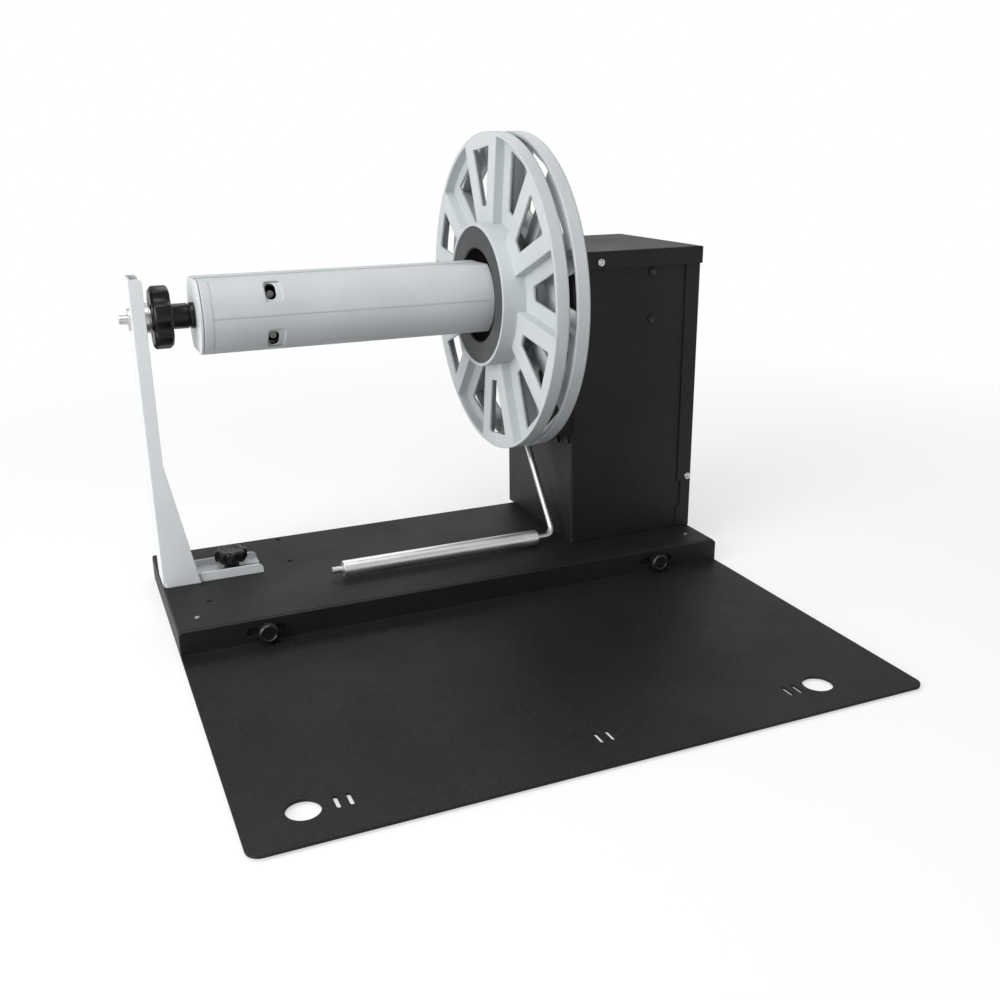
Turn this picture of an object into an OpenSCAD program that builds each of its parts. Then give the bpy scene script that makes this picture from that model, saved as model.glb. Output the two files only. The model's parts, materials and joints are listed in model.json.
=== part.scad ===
// Bench-top label rewinder with a hand crank.
// X runs along the spindle from the support arm to the tower, Y runs from the front plate to the back,
// Z runs up from the bench. The pieces are laid out from the front left corner of the base, and
// in_frame() moves them so that the origin is the middle of the object's footprint, on the bench.

/* [Base] */
// Width of the base and the front plate, along the spindle
base_w = 523; // [500:1:560]
// Depth of the base, from the front of the plate's upturned flange
base_d = 195; // [185:1:215]
// Height of the base tray, from the feet to its top face
base_h = 23; // [21:0.5:28]
// Sheet thickness of the base tray and the front plate
sheet_t = 2; // [1.5:0.1:2.5]
// Outside radius of the tray's folded edges
fold_r = 3; // [2.6:0.1:4]
// Thickness of the rubber feet
foot_h = 2; // [1.5:0.1:4]
// Diameter of a rubber foot
foot_d = 17; // [12:1:19]
// Distance from the left and right edges to the middle of a foot
foot_inset = 17; // [11:1:20]
// Width of the tray's in-turned bottom edges
tray_flange = 22; // [20:1:30]
// Diameter of the spare holes in the top of the base
spare_hole_d = 5; // [3:0.5:7]

/* [Front plate] */
// Depth of the front plate, in front of the base
plate_d = 289; // [260:1:310]
// Corner radius of the front plate
plate_corner_r = 10; // [4:1:20]
// Diameter of the two large round holes
finger_hole_d = 23.5; // [18:0.5:30]
// Distance from the front edge to the middle of the large holes
finger_hole_inset = 36; // [28:1:50]
// Distance from the left edge to the left large hole
finger_hole_left = 42.5; // [34:0.5:60]
// Distance from the right edge to the right large hole
finger_hole_right = 75; // [60:1:90]
// Width of the small slots in the plate
slot_w = 3.2; // [2:0.2:4.5]
// Length of the small slots in the plate
slot_l = 14; // [8:1:20]
// Spacing of the two small slots of a pair
slot_pitch = 9; // [7:0.5:14]
// Width of the upright slot ends that the thumb screws pass
thumb_slot_w = 34; // [26:1:44]

/* [Tower] */
// Width of the tower, along the spindle
tower_w = 136; // [124:1:150]
// Depth of the tower
tower_d = 155; // [145:1:175]
// Height of the tower above the base, with its lid
tower_h = 284; // [276:1:310]
// Distance from the front of the base to the front of the tower
tower_setback = 51; // [40:1:60]
// Sheet thickness of the tower frame
tower_t = 2; // [1.5:0.1:2.5]
// Sheet thickness of the side cover and the lid
cover_t = 1.5; // [1:0.1:2]
// Width of the side cover's front and back returns
return_w = 16; // [12:0.5:24]
// Height of the lid's skirt
lid_skirt = 16; // [12:0.5:22]
// Height of the notch in the side cover's front return above the base
notch_z = 22; // [16:1:30]
// Height of that notch
notch_h = 27; // [20:1:32]
// Depth of that notch
notch_d = 4; // [2:0.5:6]

/* [Spindle] */
// Distance from the front of the base to the spindle's axis
spindle_y = 128; // [120:1:134]
// Distance of the spindle's axis below the tower's top
spindle_drop = 44; // [40:1:54]
// Diameter of the shaft inside the mandrel and the tower
shaft_d = 17; // [15:0.5:20]
// Diameter of the shaft's left end
tip_d = 8; // [6:0.5:10]
// Length of the shaft's end that shows outside the support arm
tip_l = 9; // [6:0.5:14]
// Radius of the mandrel's curved faces
mandrel_r = 38; // [36:0.2:40]
// Height across the mandrel's flat faces
mandrel_h = 63; // [60:0.5:66]
// Wall thickness of the mandrel's shells
shell_t = 3; // [2.5:0.1:4]
// Distance that each shell moves in when the mandrel is slackened
shell_travel = 3; // [2:0.5:3.5]
// Length of the thicker end lip of the shells
lip_l = 8; // [5:1:14]

/* [Flanges] */
// Outside diameter of the two flanges
flange_d = 300; // [280:2:304]
// Thickness of a flange at its rim
flange_t = 12; // [10:0.5:14]
// Wall thickness of the flange moulding
flange_wall = 2.6; // [2:0.1:3.4]
// Radial thickness of the flange's rim
rim_w = 3.4; // [2.4:0.2:5]
// Outside diameter of the flange's hub
hub_d = 136; // [128:1:144]
// Length of the hub, in front of the flange
hub_l = 14; // [10:0.5:16]
// Gap between the two flanges when they are together
flange_gap = 8; // [4:0.5:12]
// Gap between the inner flange and the tower
wall_gap = 21; // [19:0.5:26]
// Number of raised sectors round a flange
sector_count = 6; // [5:1:8]

/* [Support arm] */
// Distance from the base's left edge to the support arm
arm_inset = 1; // [0:0.5:6]
// Width of the support arm, across the spindle
arm_w = 40; // [34:1:48]
// Sheet thickness of the support arm
arm_t = 2; // [1.5:0.1:2.5]
// Depth of the arm's upright channel
arm_channel = 11; // [9:0.5:14]
// Depth of the channel where it meets the foot
arm_root = 33; // [26:1:40]
// Height above the base at which the channel starts to widen
arm_kink = 115; // [90:1:140]
// Height of the arm above the spindle's axis
arm_over = 36; // [30:1:44]
// Length of the arm's foot
foot_l = 91; // [84:1:104]
// Height of the lips along the arm's foot
foot_lip = 8.5; // [6:0.5:12]

/* [Knobs] */
// Diameter of the spindle's star knob
knob_d = 55; // [48:1:60]
// Thickness of the star knob's head
knob_l = 16; // [14:0.5:20]
// Diameter of the star knob's hub
knob_hub_d = 22; // [20:0.5:24]
// Length of the star knob's hub
knob_hub_l = 15; // [12:0.5:20]
// Diameter of the small clamp knob
clamp_d = 30; // [24:0.5:32]
// Thickness of the small clamp knob's head
clamp_l = 10.5; // [8:0.5:14]
// Diameter of the thumb screws' heads
thumb_d = 17; // [14:0.5:19]
// Length of the thumb screws' heads
thumb_l = 9.5; // [7:0.5:13]

/* [Tension roller] */
// Diameter of the roller
roller_d = 15; // [12:0.5:18]
// Length of the roller
roller_l = 196; // [170:1:200]
// Diameter of the bent rod that carries the roller
rod_d = 6; // [5:0.5:7]
// Distance from the front of the base to the roller at rest
roller_y = 59.5; // [54:0.5:66]
// Gap between the roller at rest and the base
roller_rise = 1.5; // [1:0.5:6]
// Distance of the swing's axis behind the spindle's axis
pivot_back = 25; // [15:1:35]
// Distance of the swing's axis below the spindle's axis
pivot_drop = 111; // [104:1:118]

/* [Crank] */
// Distance from the spindle's axis to the crank's grip
crank_r = 80; // [65:1:85]
// Width of the crank's arm
crank_w = 24; // [20:1:28]
// Thickness of the crank's arm
crank_t = 6; // [5:0.5:8]
// Length of the crank's grip
grip_l = 64; // [50:1:66]
// Diameter of the crank's grip
grip_d = 24; // [20:1:28]

/* [Hidden] */
$fn = 72;

// Gap between pieces that move past each other
clear = 0.3;
// Radial running clearance of shafts and pins
run = 0.05;
// Overrun of every cut
over = 1;
// Steps in the quarter circle of a folded edge
fold_steps = 6;
// Smallest inside radius of a folded edge
least_r = 0.4;
// Radius of a dome head's ball, as a share of its diameter
dome_ball_share = 0.9;
// Radius of a star knob's scallops, as a share of its diameter
scallop_r_share = 0.42;

// Colours
black_paint = [0.10, 0.10, 0.11];
grey_paint = [0.74, 0.77, 0.79];
grey_plastic = [0.76, 0.79, 0.80];
black_plastic = [0.06, 0.06, 0.07];
dark_rubber = [0.22, 0.23, 0.24];
bright_steel = [0.78, 0.78, 0.79];
plain_aluminium = [0.80, 0.81, 0.82];
pale_felt = [0.75, 0.72, 0.62];

// Heights of the base
base_top = foot_h + base_h;
plate_top = foot_h + sheet_t;
tray_inside_top = base_top - sheet_t;

// Fasteners
pan_d = 6.8;
pan_h = 2.2;
pan_shank_d = 4;
pan_shank_l = 7;
cross_w = 1;
cross_l = 4;
cross_depth = 1.2;
small_screw_d = 4;
small_screw_thread = 0.5;
small_screw_root_d = small_screw_d - 2 * small_screw_thread;
small_screw_h = 0.8;
small_screw_x = 19;
small_screw_y = 26;
dome_d = 7;
dome_h = 2.4;
bolt_head_d = 9;
bolt_head_h = 3.5;
bolt_d = 5;
insert_wall = 1.6;
insert_l = 11;
insert_lip = 1;
insert_lip_w = 3.2;

// Spare holes in the base's top, from its left and front edges, as shares of its width and depth
spare_hole_shares = [[0.065, 0.29], [0.230, 0.626], [0.234, 0.948], [0.589, 0.316]];

// Slots and thumb screws of the front plate
thumb_x_left = 72.5;
thumb_from_right = 68.5;
thumb_x_right = base_w - thumb_from_right;
thumb_z = plate_top + (base_top - plate_top) / 2;
thumb_slot_h = 6.6;
thumb_screw_d = 6;
thumb_screw_l = 12;
knurl_count = 36;
knurl_r = 0.5;
thumb_dish_r = 6;
thumb_dish_depth = 0.8;
thumb_bevel = 1;
flange_corner_r = 4;
slot_pair_gap_left = 26.5;
slot_pair_gap_right = 24;
slot_pair_shift = 1.5;
slot_pair_left = finger_hole_left + slot_pair_gap_left;
slot_pair_middle = base_w / 2 - slot_pair_shift;
slot_pair_right = base_w - finger_hole_right - slot_pair_gap_right;
finger_hole_y = finger_hole_inset - plate_d;

// Tower walls and lid
tower_x0 = base_w - tower_w;
tower_x1 = base_w;
tower_y0 = tower_setback;
tower_y1 = tower_setback + tower_d;
tower_top = base_top + tower_h;
lid_gap = 0.25;
lid_fold_r = 2.2;
cover_fold_r = cover_t + clear;
frame_top = tower_top - cover_t - lid_gap;
frame_x1 = tower_x1 - cover_t - clear;
foot_flange = 16;
bolt_from_left = 30;
bolt_from_right = 40;
bolt_share = 0.6;
lid_x0 = tower_x0 - cover_t - lid_gap;
lid_x1 = tower_x1 + cover_t + lid_gap;
lid_y0 = tower_y0 - 2 * cover_t - lid_gap;
lid_y1 = tower_y1 + 2 * cover_t + lid_gap;
cover_drop = 0.5;
cover_top = frame_top - cover_drop;
lid_screw_from_left = 26;
lid_screw_x = tower_x0 + lid_screw_from_left;
lid_screw_drop = 2;
lid_screw_z = tower_top - lid_skirt / 2 - lid_screw_drop;
lid_screw_share = 0.3;
lid_side_screw_y = tower_y0 + tower_d * lid_screw_share;
cover_screw_inset = 5;
cover_screw_x = tower_x1 - cover_screw_inset;
cover_screw_z = base_top + notch_z + notch_h + cover_screw_inset;
cover_hole_d = 24;

// Spindle and what turns with it
spindle_z = tower_top - spindle_drop;
arm_x0 = arm_inset;
arm_forward = 5;
arm_y0 = spindle_y - arm_w / 2 - arm_forward;
arm_y1 = arm_y0 + arm_w;
arm_top = spindle_z + arm_over;
tip_x = arm_x0 - tip_l;
bush_d = 26;
bush_out = 4.2;
bush_x1 = arm_x0 + arm_channel + bush_out;
bush_spigot_d = 15;
bush_lip_d = 19.5;
bush_lip_t = 1.6;
washer_t = 1.6;
washer_d = 22;
washer_x0 = bush_x1 + clear;
knob_x0 = washer_x0 + washer_t + clear;
knob_x1 = knob_x0 + knob_l;
knob_hub_x1 = knob_x1 + knob_hub_l;
knob_neck_l = 5;
knob_groove_l = 1.2;
knob_bevel = 2.5;
knob_bevel_l = 4;
clamp_bevel = 1.5;
knob_neck_step = 0.5;
knob_neck_d = knob_hub_d + 2 * knob_neck_step;
knob_groove_deep = 1;
knob_groove_d = knob_hub_d - 2 * knob_groove_deep;
end_plate_t = 2;
end_plate_x0 = knob_hub_x1 + knob_neck_l + clear;
end_plate_x1 = end_plate_x0 + end_plate_t;
shell_x0 = end_plate_x1 + 2 * clear;
inner_x1 = tower_x0 - wall_gap;
inner_x0 = inner_x1 - flange_t;
outer_x1 = inner_x0 - flange_gap;
outer_x0 = outer_x1 - flange_t;
disc_t = 8;
ring_recess = 1.2;
ring_t = 4;
floor_x0 = -hub_l + ring_recess + ring_t;
disc_x1 = inner_x1 + hub_l - ring_recess - ring_t - flange_wall;
disc_x0 = disc_x1 - disc_t;
shell_x1 = disc_x0 - clear;
core_x1 = disc_x0 - clear;
sleeve_l = 26;
sleeve_d = 16;
sleeve_x0 = knob_x0 + knob_l / 2;
sleeve_x1 = end_plate_x1 + sleeve_l;
shaft_step_gap = 2;
shaft_step_x = sleeve_x1 + shaft_step_gap;

// Mandrel core, wedge carrier and ramps
core_t = 22;
core_play = 1;
core_h = mandrel_h - 2 * shell_t - 2 * core_play;
core_gap = 10;
core_x0 = shaft_step_x + core_gap;
bar_t = 4;
bar_h = 14;
bar_in = core_t / 2 + clear;
bar_out = bar_in + bar_t;
ramp_slope = 0.5;
ramp_l = 17;
ramp_h = ramp_l * ramp_slope;
rib_l = 8;
rib_gap = 1;
rib_start = ramp_l - rib_l - rib_gap;
wedge_travel = shell_travel / ramp_slope;
ramp_margin = 34;
ramp_count = 3;
ramp_x0 = core_x0 + ramp_margin;
ramp_pitch = (core_x1 - core_x0 - 2 * ramp_margin - ramp_l) / (ramp_count - 1);
yoke_gap = 3;
yoke_x0 = end_plate_x1 + wedge_travel + yoke_gap;
yoke_t = 8;
split_gap = 0.6;
split_half = shell_travel + split_gap;
window_l = 9;
window_h = 12.5;
window_r = 4;
window_from_end = 62;
window_x = end_plate_x0 + window_from_end;
pocket_l = 15;
pocket_h = 16;
pocket_r = 3;
pocket_deep = 1.2;
pocket_shift = 2.5;
guide_root = core_t / 2 / 2;
post_bite = 12;
yoke_h = 28;
rib_w = 12;
window_z = 20;
guide_z = 17.5;
guide_d = 5;
guide_head_d = 6.5;
guide_head_l = 3;
guide_deep = 5.5;
guide_end = sqrt(mandrel_r * mandrel_r - guide_z * guide_z) - guide_deep;
lip_proud = 0.2;
seam_w = 0.6;
seam_deep = 0.4;
post_d = 5;
post_head_d = 8;
post_z = 23;

// Flange moulding, measured from the front of its rim
flange_r = flange_d / 2;
hub_r = hub_d / 2;
hub_wall = 3;
ring_hole_share = 0.326;
ring_hole_r = hub_d * ring_hole_share;
web_t = 1.5;
hub_boss_d = 36;
hub_boss_gap = 3;
hub_boss_x1 = tower_x0 - hub_boss_gap;
sector_angle = 360 / sector_count / 2;
window_from_rim = 14;
window_from_hub = 15;
window_outer_r = flange_r - window_from_rim;
window_inner_r = hub_r + window_from_hub;
window_corner_r = 2.5;
corner_steps = 4;
bar_w = 15.5;
outer_turn = 37;
inner_turn = 7;

// Bearings, housings and the bracket in the tower
bearing_d = 35;
bearing_w = 10;
ring_wall = 2.6;
ball_count = 9;
groove_depth = 0.7;
ball_d = (bearing_d - shaft_d) / 2 - 2 * ring_wall + 2 * groove_depth;
ball_pitch_r = (bearing_d + shaft_d) / 2 / 2;
housing_d = 50;
housing_flange = 62;
housing_flange_t = 4;
housing_l = 16;
housing_lip = 2;
housing_x0 = tower_x0 + tower_t;
bearing_a_x0 = housing_x0 + housing_lip;
bracket_t = 3;
bracket_screw_from_right = 53;
bracket_screw_inset = 11;
bracket_screw_x = tower_x1 - bracket_screw_from_right;
bracket_x0 = bracket_screw_x - bracket_screw_inset;
bracket_flange = 20;
bracket_half_h = 36;
bracket_screw_rise = 22.5;
bearing_b_x0 = bracket_x0 - bearing_w;
bracket_ring_x0 = bearing_b_x0 - housing_lip;
housing_turns = [45, 135, 225, 315];
housing_screw_r = 33.5;
clip_nut_w = 6;
clip_nut_t = 2;
collar_d = 26;
collar_w = 8;
drag_t = 2;
drag_d = 32;
wall_hole_d = 34;

// Crank
crank_hub_d = 30;
crank_hub_l = 16;
crank_gap = 2.5;
crank_hub_x0 = tower_x1 + crank_gap;
crank_x0 = crank_hub_x0 + crank_hub_l - crank_t;
crank_bolt_d = 6;
crank_bolt_head_d = 14;
crank_bolt_head_l = 4;
crank_bolt_l = 16;
grip_pin_d = 8;
grip_gap = 2;
grip_x0 = crank_x0 + crank_t + grip_gap;
grip_neck_share = 0.8;
grip_belly_share = 0.5;
grip_cap_l = 4;
grip_steps = 18;
shaft_x1 = crank_x0 + crank_t - clear;

// Tension roller's swing
rod_gap = 2;
rod_x = inner_x1 + rod_d / 2 + rod_gap;
pivot_y = spindle_y + pivot_back;
pivot_z = spindle_z - pivot_drop;
roller_z = base_top + roller_rise + roller_d / 2;
swing_dy = pivot_y - roller_y;
swing_dz = pivot_z - roller_z;
swing_l = sqrt(swing_dy * swing_dy + swing_dz * swing_dz);
swing_lean = atan2(swing_dy, swing_dz);
bend_r = 9;
roller_gap = 19;
roller_x1 = rod_x - roller_gap;
roller_x0 = roller_x1 - roller_l;
rod_tip = 10;
boss_d = 22;
boss_end = 0.8;
boss_x0 = rod_x - rod_d / 2 - boss_end;
boss_gap = 2;
boss_x1 = tower_x0 - boss_gap;
stud_d = 8;
stud_start = 1;
stud_x0 = rod_x + stud_start;
stud_nut_w = 13;
stud_nut_h = 6;
rod_seat_wall = 2;
rod_seat = stud_d / 2 + rod_seat_wall;
stud_collar_d = 14;
stop_d = 7;
stop_neck_step = 1;
stop_neck_d = stop_d - 2 * stop_neck_step;
stop_reach = 42;
wall_plate_t = 3;
wall_plate_x1 = tower_x0 + tower_t + wall_plate_t;
wall_plate_below = 40;
wall_plate_above = 22;
wall_plate_z0 = pivot_z - wall_plate_below;
wall_plate_z1 = pivot_z + wall_plate_above;
wall_plate_gap = 2;
wall_plate_y0 = tower_y0 + tower_t + wall_plate_gap;
wall_screw_front = [8.5, 24];
wall_screw_back = [31, 29];
wall_screw_places = [
  [tower_y0 + wall_screw_front[0], pivot_z - wall_screw_front[1]],
  [tower_y0 + wall_screw_back[0], pivot_z - wall_screw_back[1]]
];
roller_wall = 2;
roller_bush_l = 12;
clip_d = 10;
clip_t = 0.8;

// Support arm's foot and clamp
clamp_from_arm = 64.5;
clamp_x = arm_x0 + clamp_from_arm;
clamp_y = arm_y0 + arm_w / 2;
clamp_stem_d = 14.5;
clamp_stem_l = 8;
clamp_stud_d = 6;
clamp_stud_l = 14;
clamp_slot_w = 8;
clamp_z0 = base_top + arm_t + clear;
clamp_z1 = clamp_z0 + clamp_stem_l + clamp_l;
clamp_cap_d = 13;
clamp_cap_t = 1;
lip_r = 5;
arm_corner_r = 4;
slot_reach = 9;
relief_d = 3;
relief_h = 5;
clamp_lobes = 8;
star_lobes = 6;
star_scallop_share = 0.62;
clamp_scallop_share = 0.75;

// Middle of the footprint
shape_x0 = tip_x;
shape_x1 = grip_x0 + grip_l + grip_cap_l;
shape_y0 = -plate_d;
shape_y1 = max(spindle_y + flange_r, lid_y1);
middle_x = (shape_x0 + shape_x1) / 2;
middle_y = (shape_y0 + shape_y1) / 2;

// Points of an arc, in equal steps
function arc_points(x, y, r, from, to, steps) =
  [for (i = [0 : steps]) let (a = from + (to - from) * i / steps) [x + r * cos(a), y + r * sin(a)]];

// One corner of an outline, rounded when its radius is above zero
function corner(x, y, r, turn) =
  r > 0 ? arc_points(x, y, r, turn, turn + 90, fold_steps) : [[x, y]];

// Bar outline with round ends, from x0 to x1 along the first axis
function stadium(x0, x1, w) =
  concat(arc_points(x1, 0, w / 2, -90, 90, 16), arc_points(x0, 0, w / 2, 90, 270, 16));

// Rectangle whose corner radii are given as [front left, front right, back right, back left]
function rounded(x0, y0, x1, y1, rs) = concat(
  corner(x0 + rs[0], y0 + rs[0], rs[0], 180),
  corner(x1 - rs[1], y0 + rs[1], rs[1], 270),
  corner(x1 - rs[2], y1 - rs[2], rs[2], 0),
  corner(x0 + rs[3], y1 - rs[3], rs[3], 90)
);

module in_frame() {
  translate([-middle_x, -middle_y, 0]) children();
}

module on_spindle() {
  in_frame() translate([0, spindle_y, spindle_z]) children();
}

module rod_along_x(x0, x1, d) {
  translate([x0, 0, 0]) rotate([0, 90, 0]) cylinder(h = x1 - x0, d = d);
}

module tube_along_x(x0, x1, d, hole) {
  difference() {
    rod_along_x(x0, x1, d);
    rod_along_x(x0 - over, x1 + over, hole);
  }
}

// Extrudes an outline drawn in Y and Z along X
module sheet_along_x(x0, x1) {
  translate([x0, 0, 0]) rotate([90, 0, 90]) linear_extrude(height = x1 - x0) children();
}

// Extrudes an outline drawn in X and Z along Y
module sheet_along_y(y0, y1) {
  translate([0, y1, 0]) rotate([90, 0, 0]) linear_extrude(height = y1 - y0) children();
}

// Block with rounded top and upright edges, as folded and welded sheet has
module folded_block(x0, y0, z0, x1, y1, z1, r) {
  intersection() {
    translate([0, 0, z0]) linear_extrude(height = z1 - z0)
      polygon(rounded(x0, y0, x1, y1, [r, r, r, r]));
    sheet_along_y(y0 - over, y1 + over) polygon(rounded(x0, z0, x1, z1, [0, 0, r, r]));
    sheet_along_x(x0 - over, x1 + over) polygon(rounded(y0, z0, y1, z1, [0, 0, r, r]));
  }
}

// Five-sided cap, open at the bottom
module folded_cap(x0, y0, z0, x1, y1, z1, t, r) {
  difference() {
    folded_block(x0, y0, z0, x1, y1, z1, r);
    folded_block(x0 + t, y0 + t, z0 - over, x1 - t, y1 - t, z1 - t, max(r - t, least_r));
  }
}

// Slot with round ends along X, cut through z0 to z1
module slot_cut(x, y, z0, z1, length, width) {
  translate([x, y, z0]) {
    for (side = [-1, 1])
      translate([side * (length - width) / 2, 0, 0]) cylinder(h = z1 - z0, d = width);
    translate([-(length - width) / 2, -width / 2, 0]) cube([length - width, width, z1 - z0]);
  }
}

// Round-ended slot along Y
module upright_slot_cut(x, y, z0, z1, length, width) {
  translate([x, y, 0]) rotate([0, 0, 90]) slot_cut(0, 0, z0, z1, length, width);
}

// Pan-head screw along -Z, its head standing on z = 0
module pan_screw() {
  difference() {
    intersection() {
      cylinder(h = pan_h, d = pan_d);
      translate([0, 0, pan_h - pan_d]) sphere(r = pan_d);
    }
    for (turn = [0, 90])
      rotate([0, 0, turn]) translate([-cross_l / 2, -cross_w / 2, pan_h - cross_depth])
        cube([cross_l, cross_w, cross_depth + over]);
  }
  translate([0, 0, -pan_shank_l]) cylinder(h = pan_shank_l, d = pan_shank_d);
}

// Dome-head screw along -Z, its head standing on z = 0
module dome_screw(shank_l) {
  intersection() {
    cylinder(h = dome_h, d = dome_d);
    translate([0, 0, dome_h - dome_d * dome_ball_share]) sphere(r = dome_d * dome_ball_share);
  }
  translate([0, 0, -shank_l]) cylinder(h = shank_l, d = pan_shank_d);
}

// Star outline with round lobes
module star(d, lobes, scallop_share) {
  lobe_r = d * scallop_r_share * sin(180 / lobes);
  difference() {
    circle(d = d);
    for (i = [0 : lobes - 1])
      rotate([0, 0, (i + 0.5) * 360 / lobes])
        translate([d / 2 + lobe_r * scallop_share, 0]) circle(r = lobe_r);
  }
}

// Screw places
lid_screw_places = [
  [[lid_screw_x, lid_y0, lid_screw_z], [90, 0, 0]],
  [[lid_screw_x, lid_y1, lid_screw_z], [-90, 0, 0]],
  [[lid_x1, lid_side_screw_y, lid_screw_z], [0, 90, 0]],
  [[lid_x1, tower_y0 + tower_y1 - lid_side_screw_y, lid_screw_z], [0, 90, 0]]
];
cover_screw_places = [
  [[cover_screw_x, tower_y0 - cover_t, cover_screw_z], [90, 0, 0]],
  [[cover_screw_x, tower_y1 + cover_t, cover_screw_z], [-90, 0, 0]]
];
tower_bolt_places = [
  for (x = [tower_x0 + bolt_from_left, tower_x1 - bolt_from_right],
       y = [tower_y0 + foot_flange * bolt_share, base_d - foot_flange / 2])
    [x, y]
];
thumb_places = [thumb_x_left, thumb_x_right];
foot_places = [
  for (x = [foot_inset, base_w - foot_inset], y = [sheet_t + tray_flange / 2, base_d - tray_flange / 2])
    [x, y]
];
plate_foot_places = [for (x = [foot_inset, base_w - foot_inset]) [x, foot_inset - plate_d]];

module screw_cuts(places, length) {
  for (place = places)
    translate(place[0]) rotate(place[1]) translate([0, 0, -length])
      cylinder(h = length + over, d = pan_shank_d + 2 * run);
}

module base_tray() color(black_paint) in_frame() difference() {
  union() {
    folded_cap(0, sheet_t, foot_h, base_w, base_d, base_top, sheet_t, fold_r);
    // In-turned bottom edges, which the feet are stuck to
    for (y = [sheet_t + sheet_t / 2, base_d - sheet_t / 2 - tray_flange])
      translate([fold_r, y, foot_h]) cube([base_w - 2 * fold_r, tray_flange, sheet_t]);
  }
  for (share = spare_hole_shares)
    translate([share[0] * base_w, share[1] * base_d, tray_inside_top - over])
      cylinder(h = sheet_t + 2 * over, d = spare_hole_d);
  for (x = [small_screw_x, base_w - small_screw_x])
    translate([x, small_screw_y, tray_inside_top - over])
      cylinder(h = sheet_t + 2 * over, d = small_screw_root_d);
  for (place = tower_bolt_places)
    translate([place[0], place[1], tray_inside_top - over])
      cylinder(h = sheet_t + 2 * over, d = bolt_d + 2 * run);
  translate([clamp_x, clamp_y, tray_inside_top - over])
    cylinder(h = sheet_t + 2 * over, d = clamp_stud_d + 2 * insert_wall);
  for (x = thumb_places)
    translate([x, sheet_t - over, thumb_z]) rotate([-90, 0, 0])
      cylinder(h = sheet_t + 2 * over, d = thumb_screw_d + 2 * insert_wall);
}

module front_plate() color(black_paint) in_frame() difference() {
  union() {
    translate([0, 0, foot_h]) linear_extrude(height = sheet_t)
      polygon(rounded(0, -plate_d, base_w, sheet_t, [plate_corner_r, plate_corner_r, 0, 0]));
    sheet_along_y(0, sheet_t)
      polygon(rounded(0, foot_h, base_w, base_top, [0, 0, flange_corner_r, flange_corner_r]));
  }
  // The large holes and the plain slots beside them
  for (x = [finger_hole_left, base_w - finger_hole_right])
    translate([x, finger_hole_y, foot_h - over]) cylinder(h = sheet_t + 2 * over, d = finger_hole_d);
  for (x = [slot_pair_left, slot_pair_middle, slot_pair_right], side = [-1, 1])
    upright_slot_cut(x + side * slot_pitch / 2, finger_hole_y, foot_h - over, plate_top + over,
                     slot_l, slot_w);
  // The slots that the thumb screws pass
  for (x = thumb_places)
    translate([x, 0, thumb_z]) rotate([90, 0, 0])
      slot_cut(0, 0, -sheet_t - over, over, thumb_slot_w, thumb_slot_h);
}

module feet(places) {
  for (place = places)
    translate([place[0], place[1], 0]) cylinder(h = foot_h, d = foot_d);
}

module rubber_feet() color(dark_rubber) in_frame() feet(foot_places);

module plate_feet() color(dark_rubber) in_frame() feet(plate_foot_places);

module base_top_screws() color(bright_steel) in_frame() {
  for (x = [small_screw_x, base_w - small_screw_x])
    translate([x, small_screw_y, 0]) {
      translate([0, 0, base_top]) cylinder(h = small_screw_h, d = small_screw_d);
      translate([0, 0, tray_inside_top - sheet_t])
        cylinder(h = 2 * sheet_t, d = small_screw_root_d - 2 * run);
    }
}

// Threaded insert along -Z, its lip on z = 0, in a sheet of thickness t
module threaded_insert(t, length, bore) {
  difference() {
    union() {
      translate([0, 0, -length]) cylinder(h = length, d = bore + 2 * insert_wall - 2 * run);
      translate([0, 0, -t - insert_lip]) cylinder(h = insert_lip, d = bore + 2 * insert_lip_w);
    }
    translate([0, 0, -length - over]) cylinder(h = length + 2 * over, d = bore + 2 * run);
  }
}

module thumb_inserts() color(bright_steel) in_frame() {
  for (x = thumb_places)
    translate([x, sheet_t, thumb_z]) rotate([90, 0, 0])
      threaded_insert(sheet_t, insert_l, thumb_screw_d);
}

module clamp_insert() color(bright_steel) in_frame() {
  translate([clamp_x, clamp_y, base_top]) threaded_insert(sheet_t, insert_l, clamp_stud_d);
}

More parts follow.
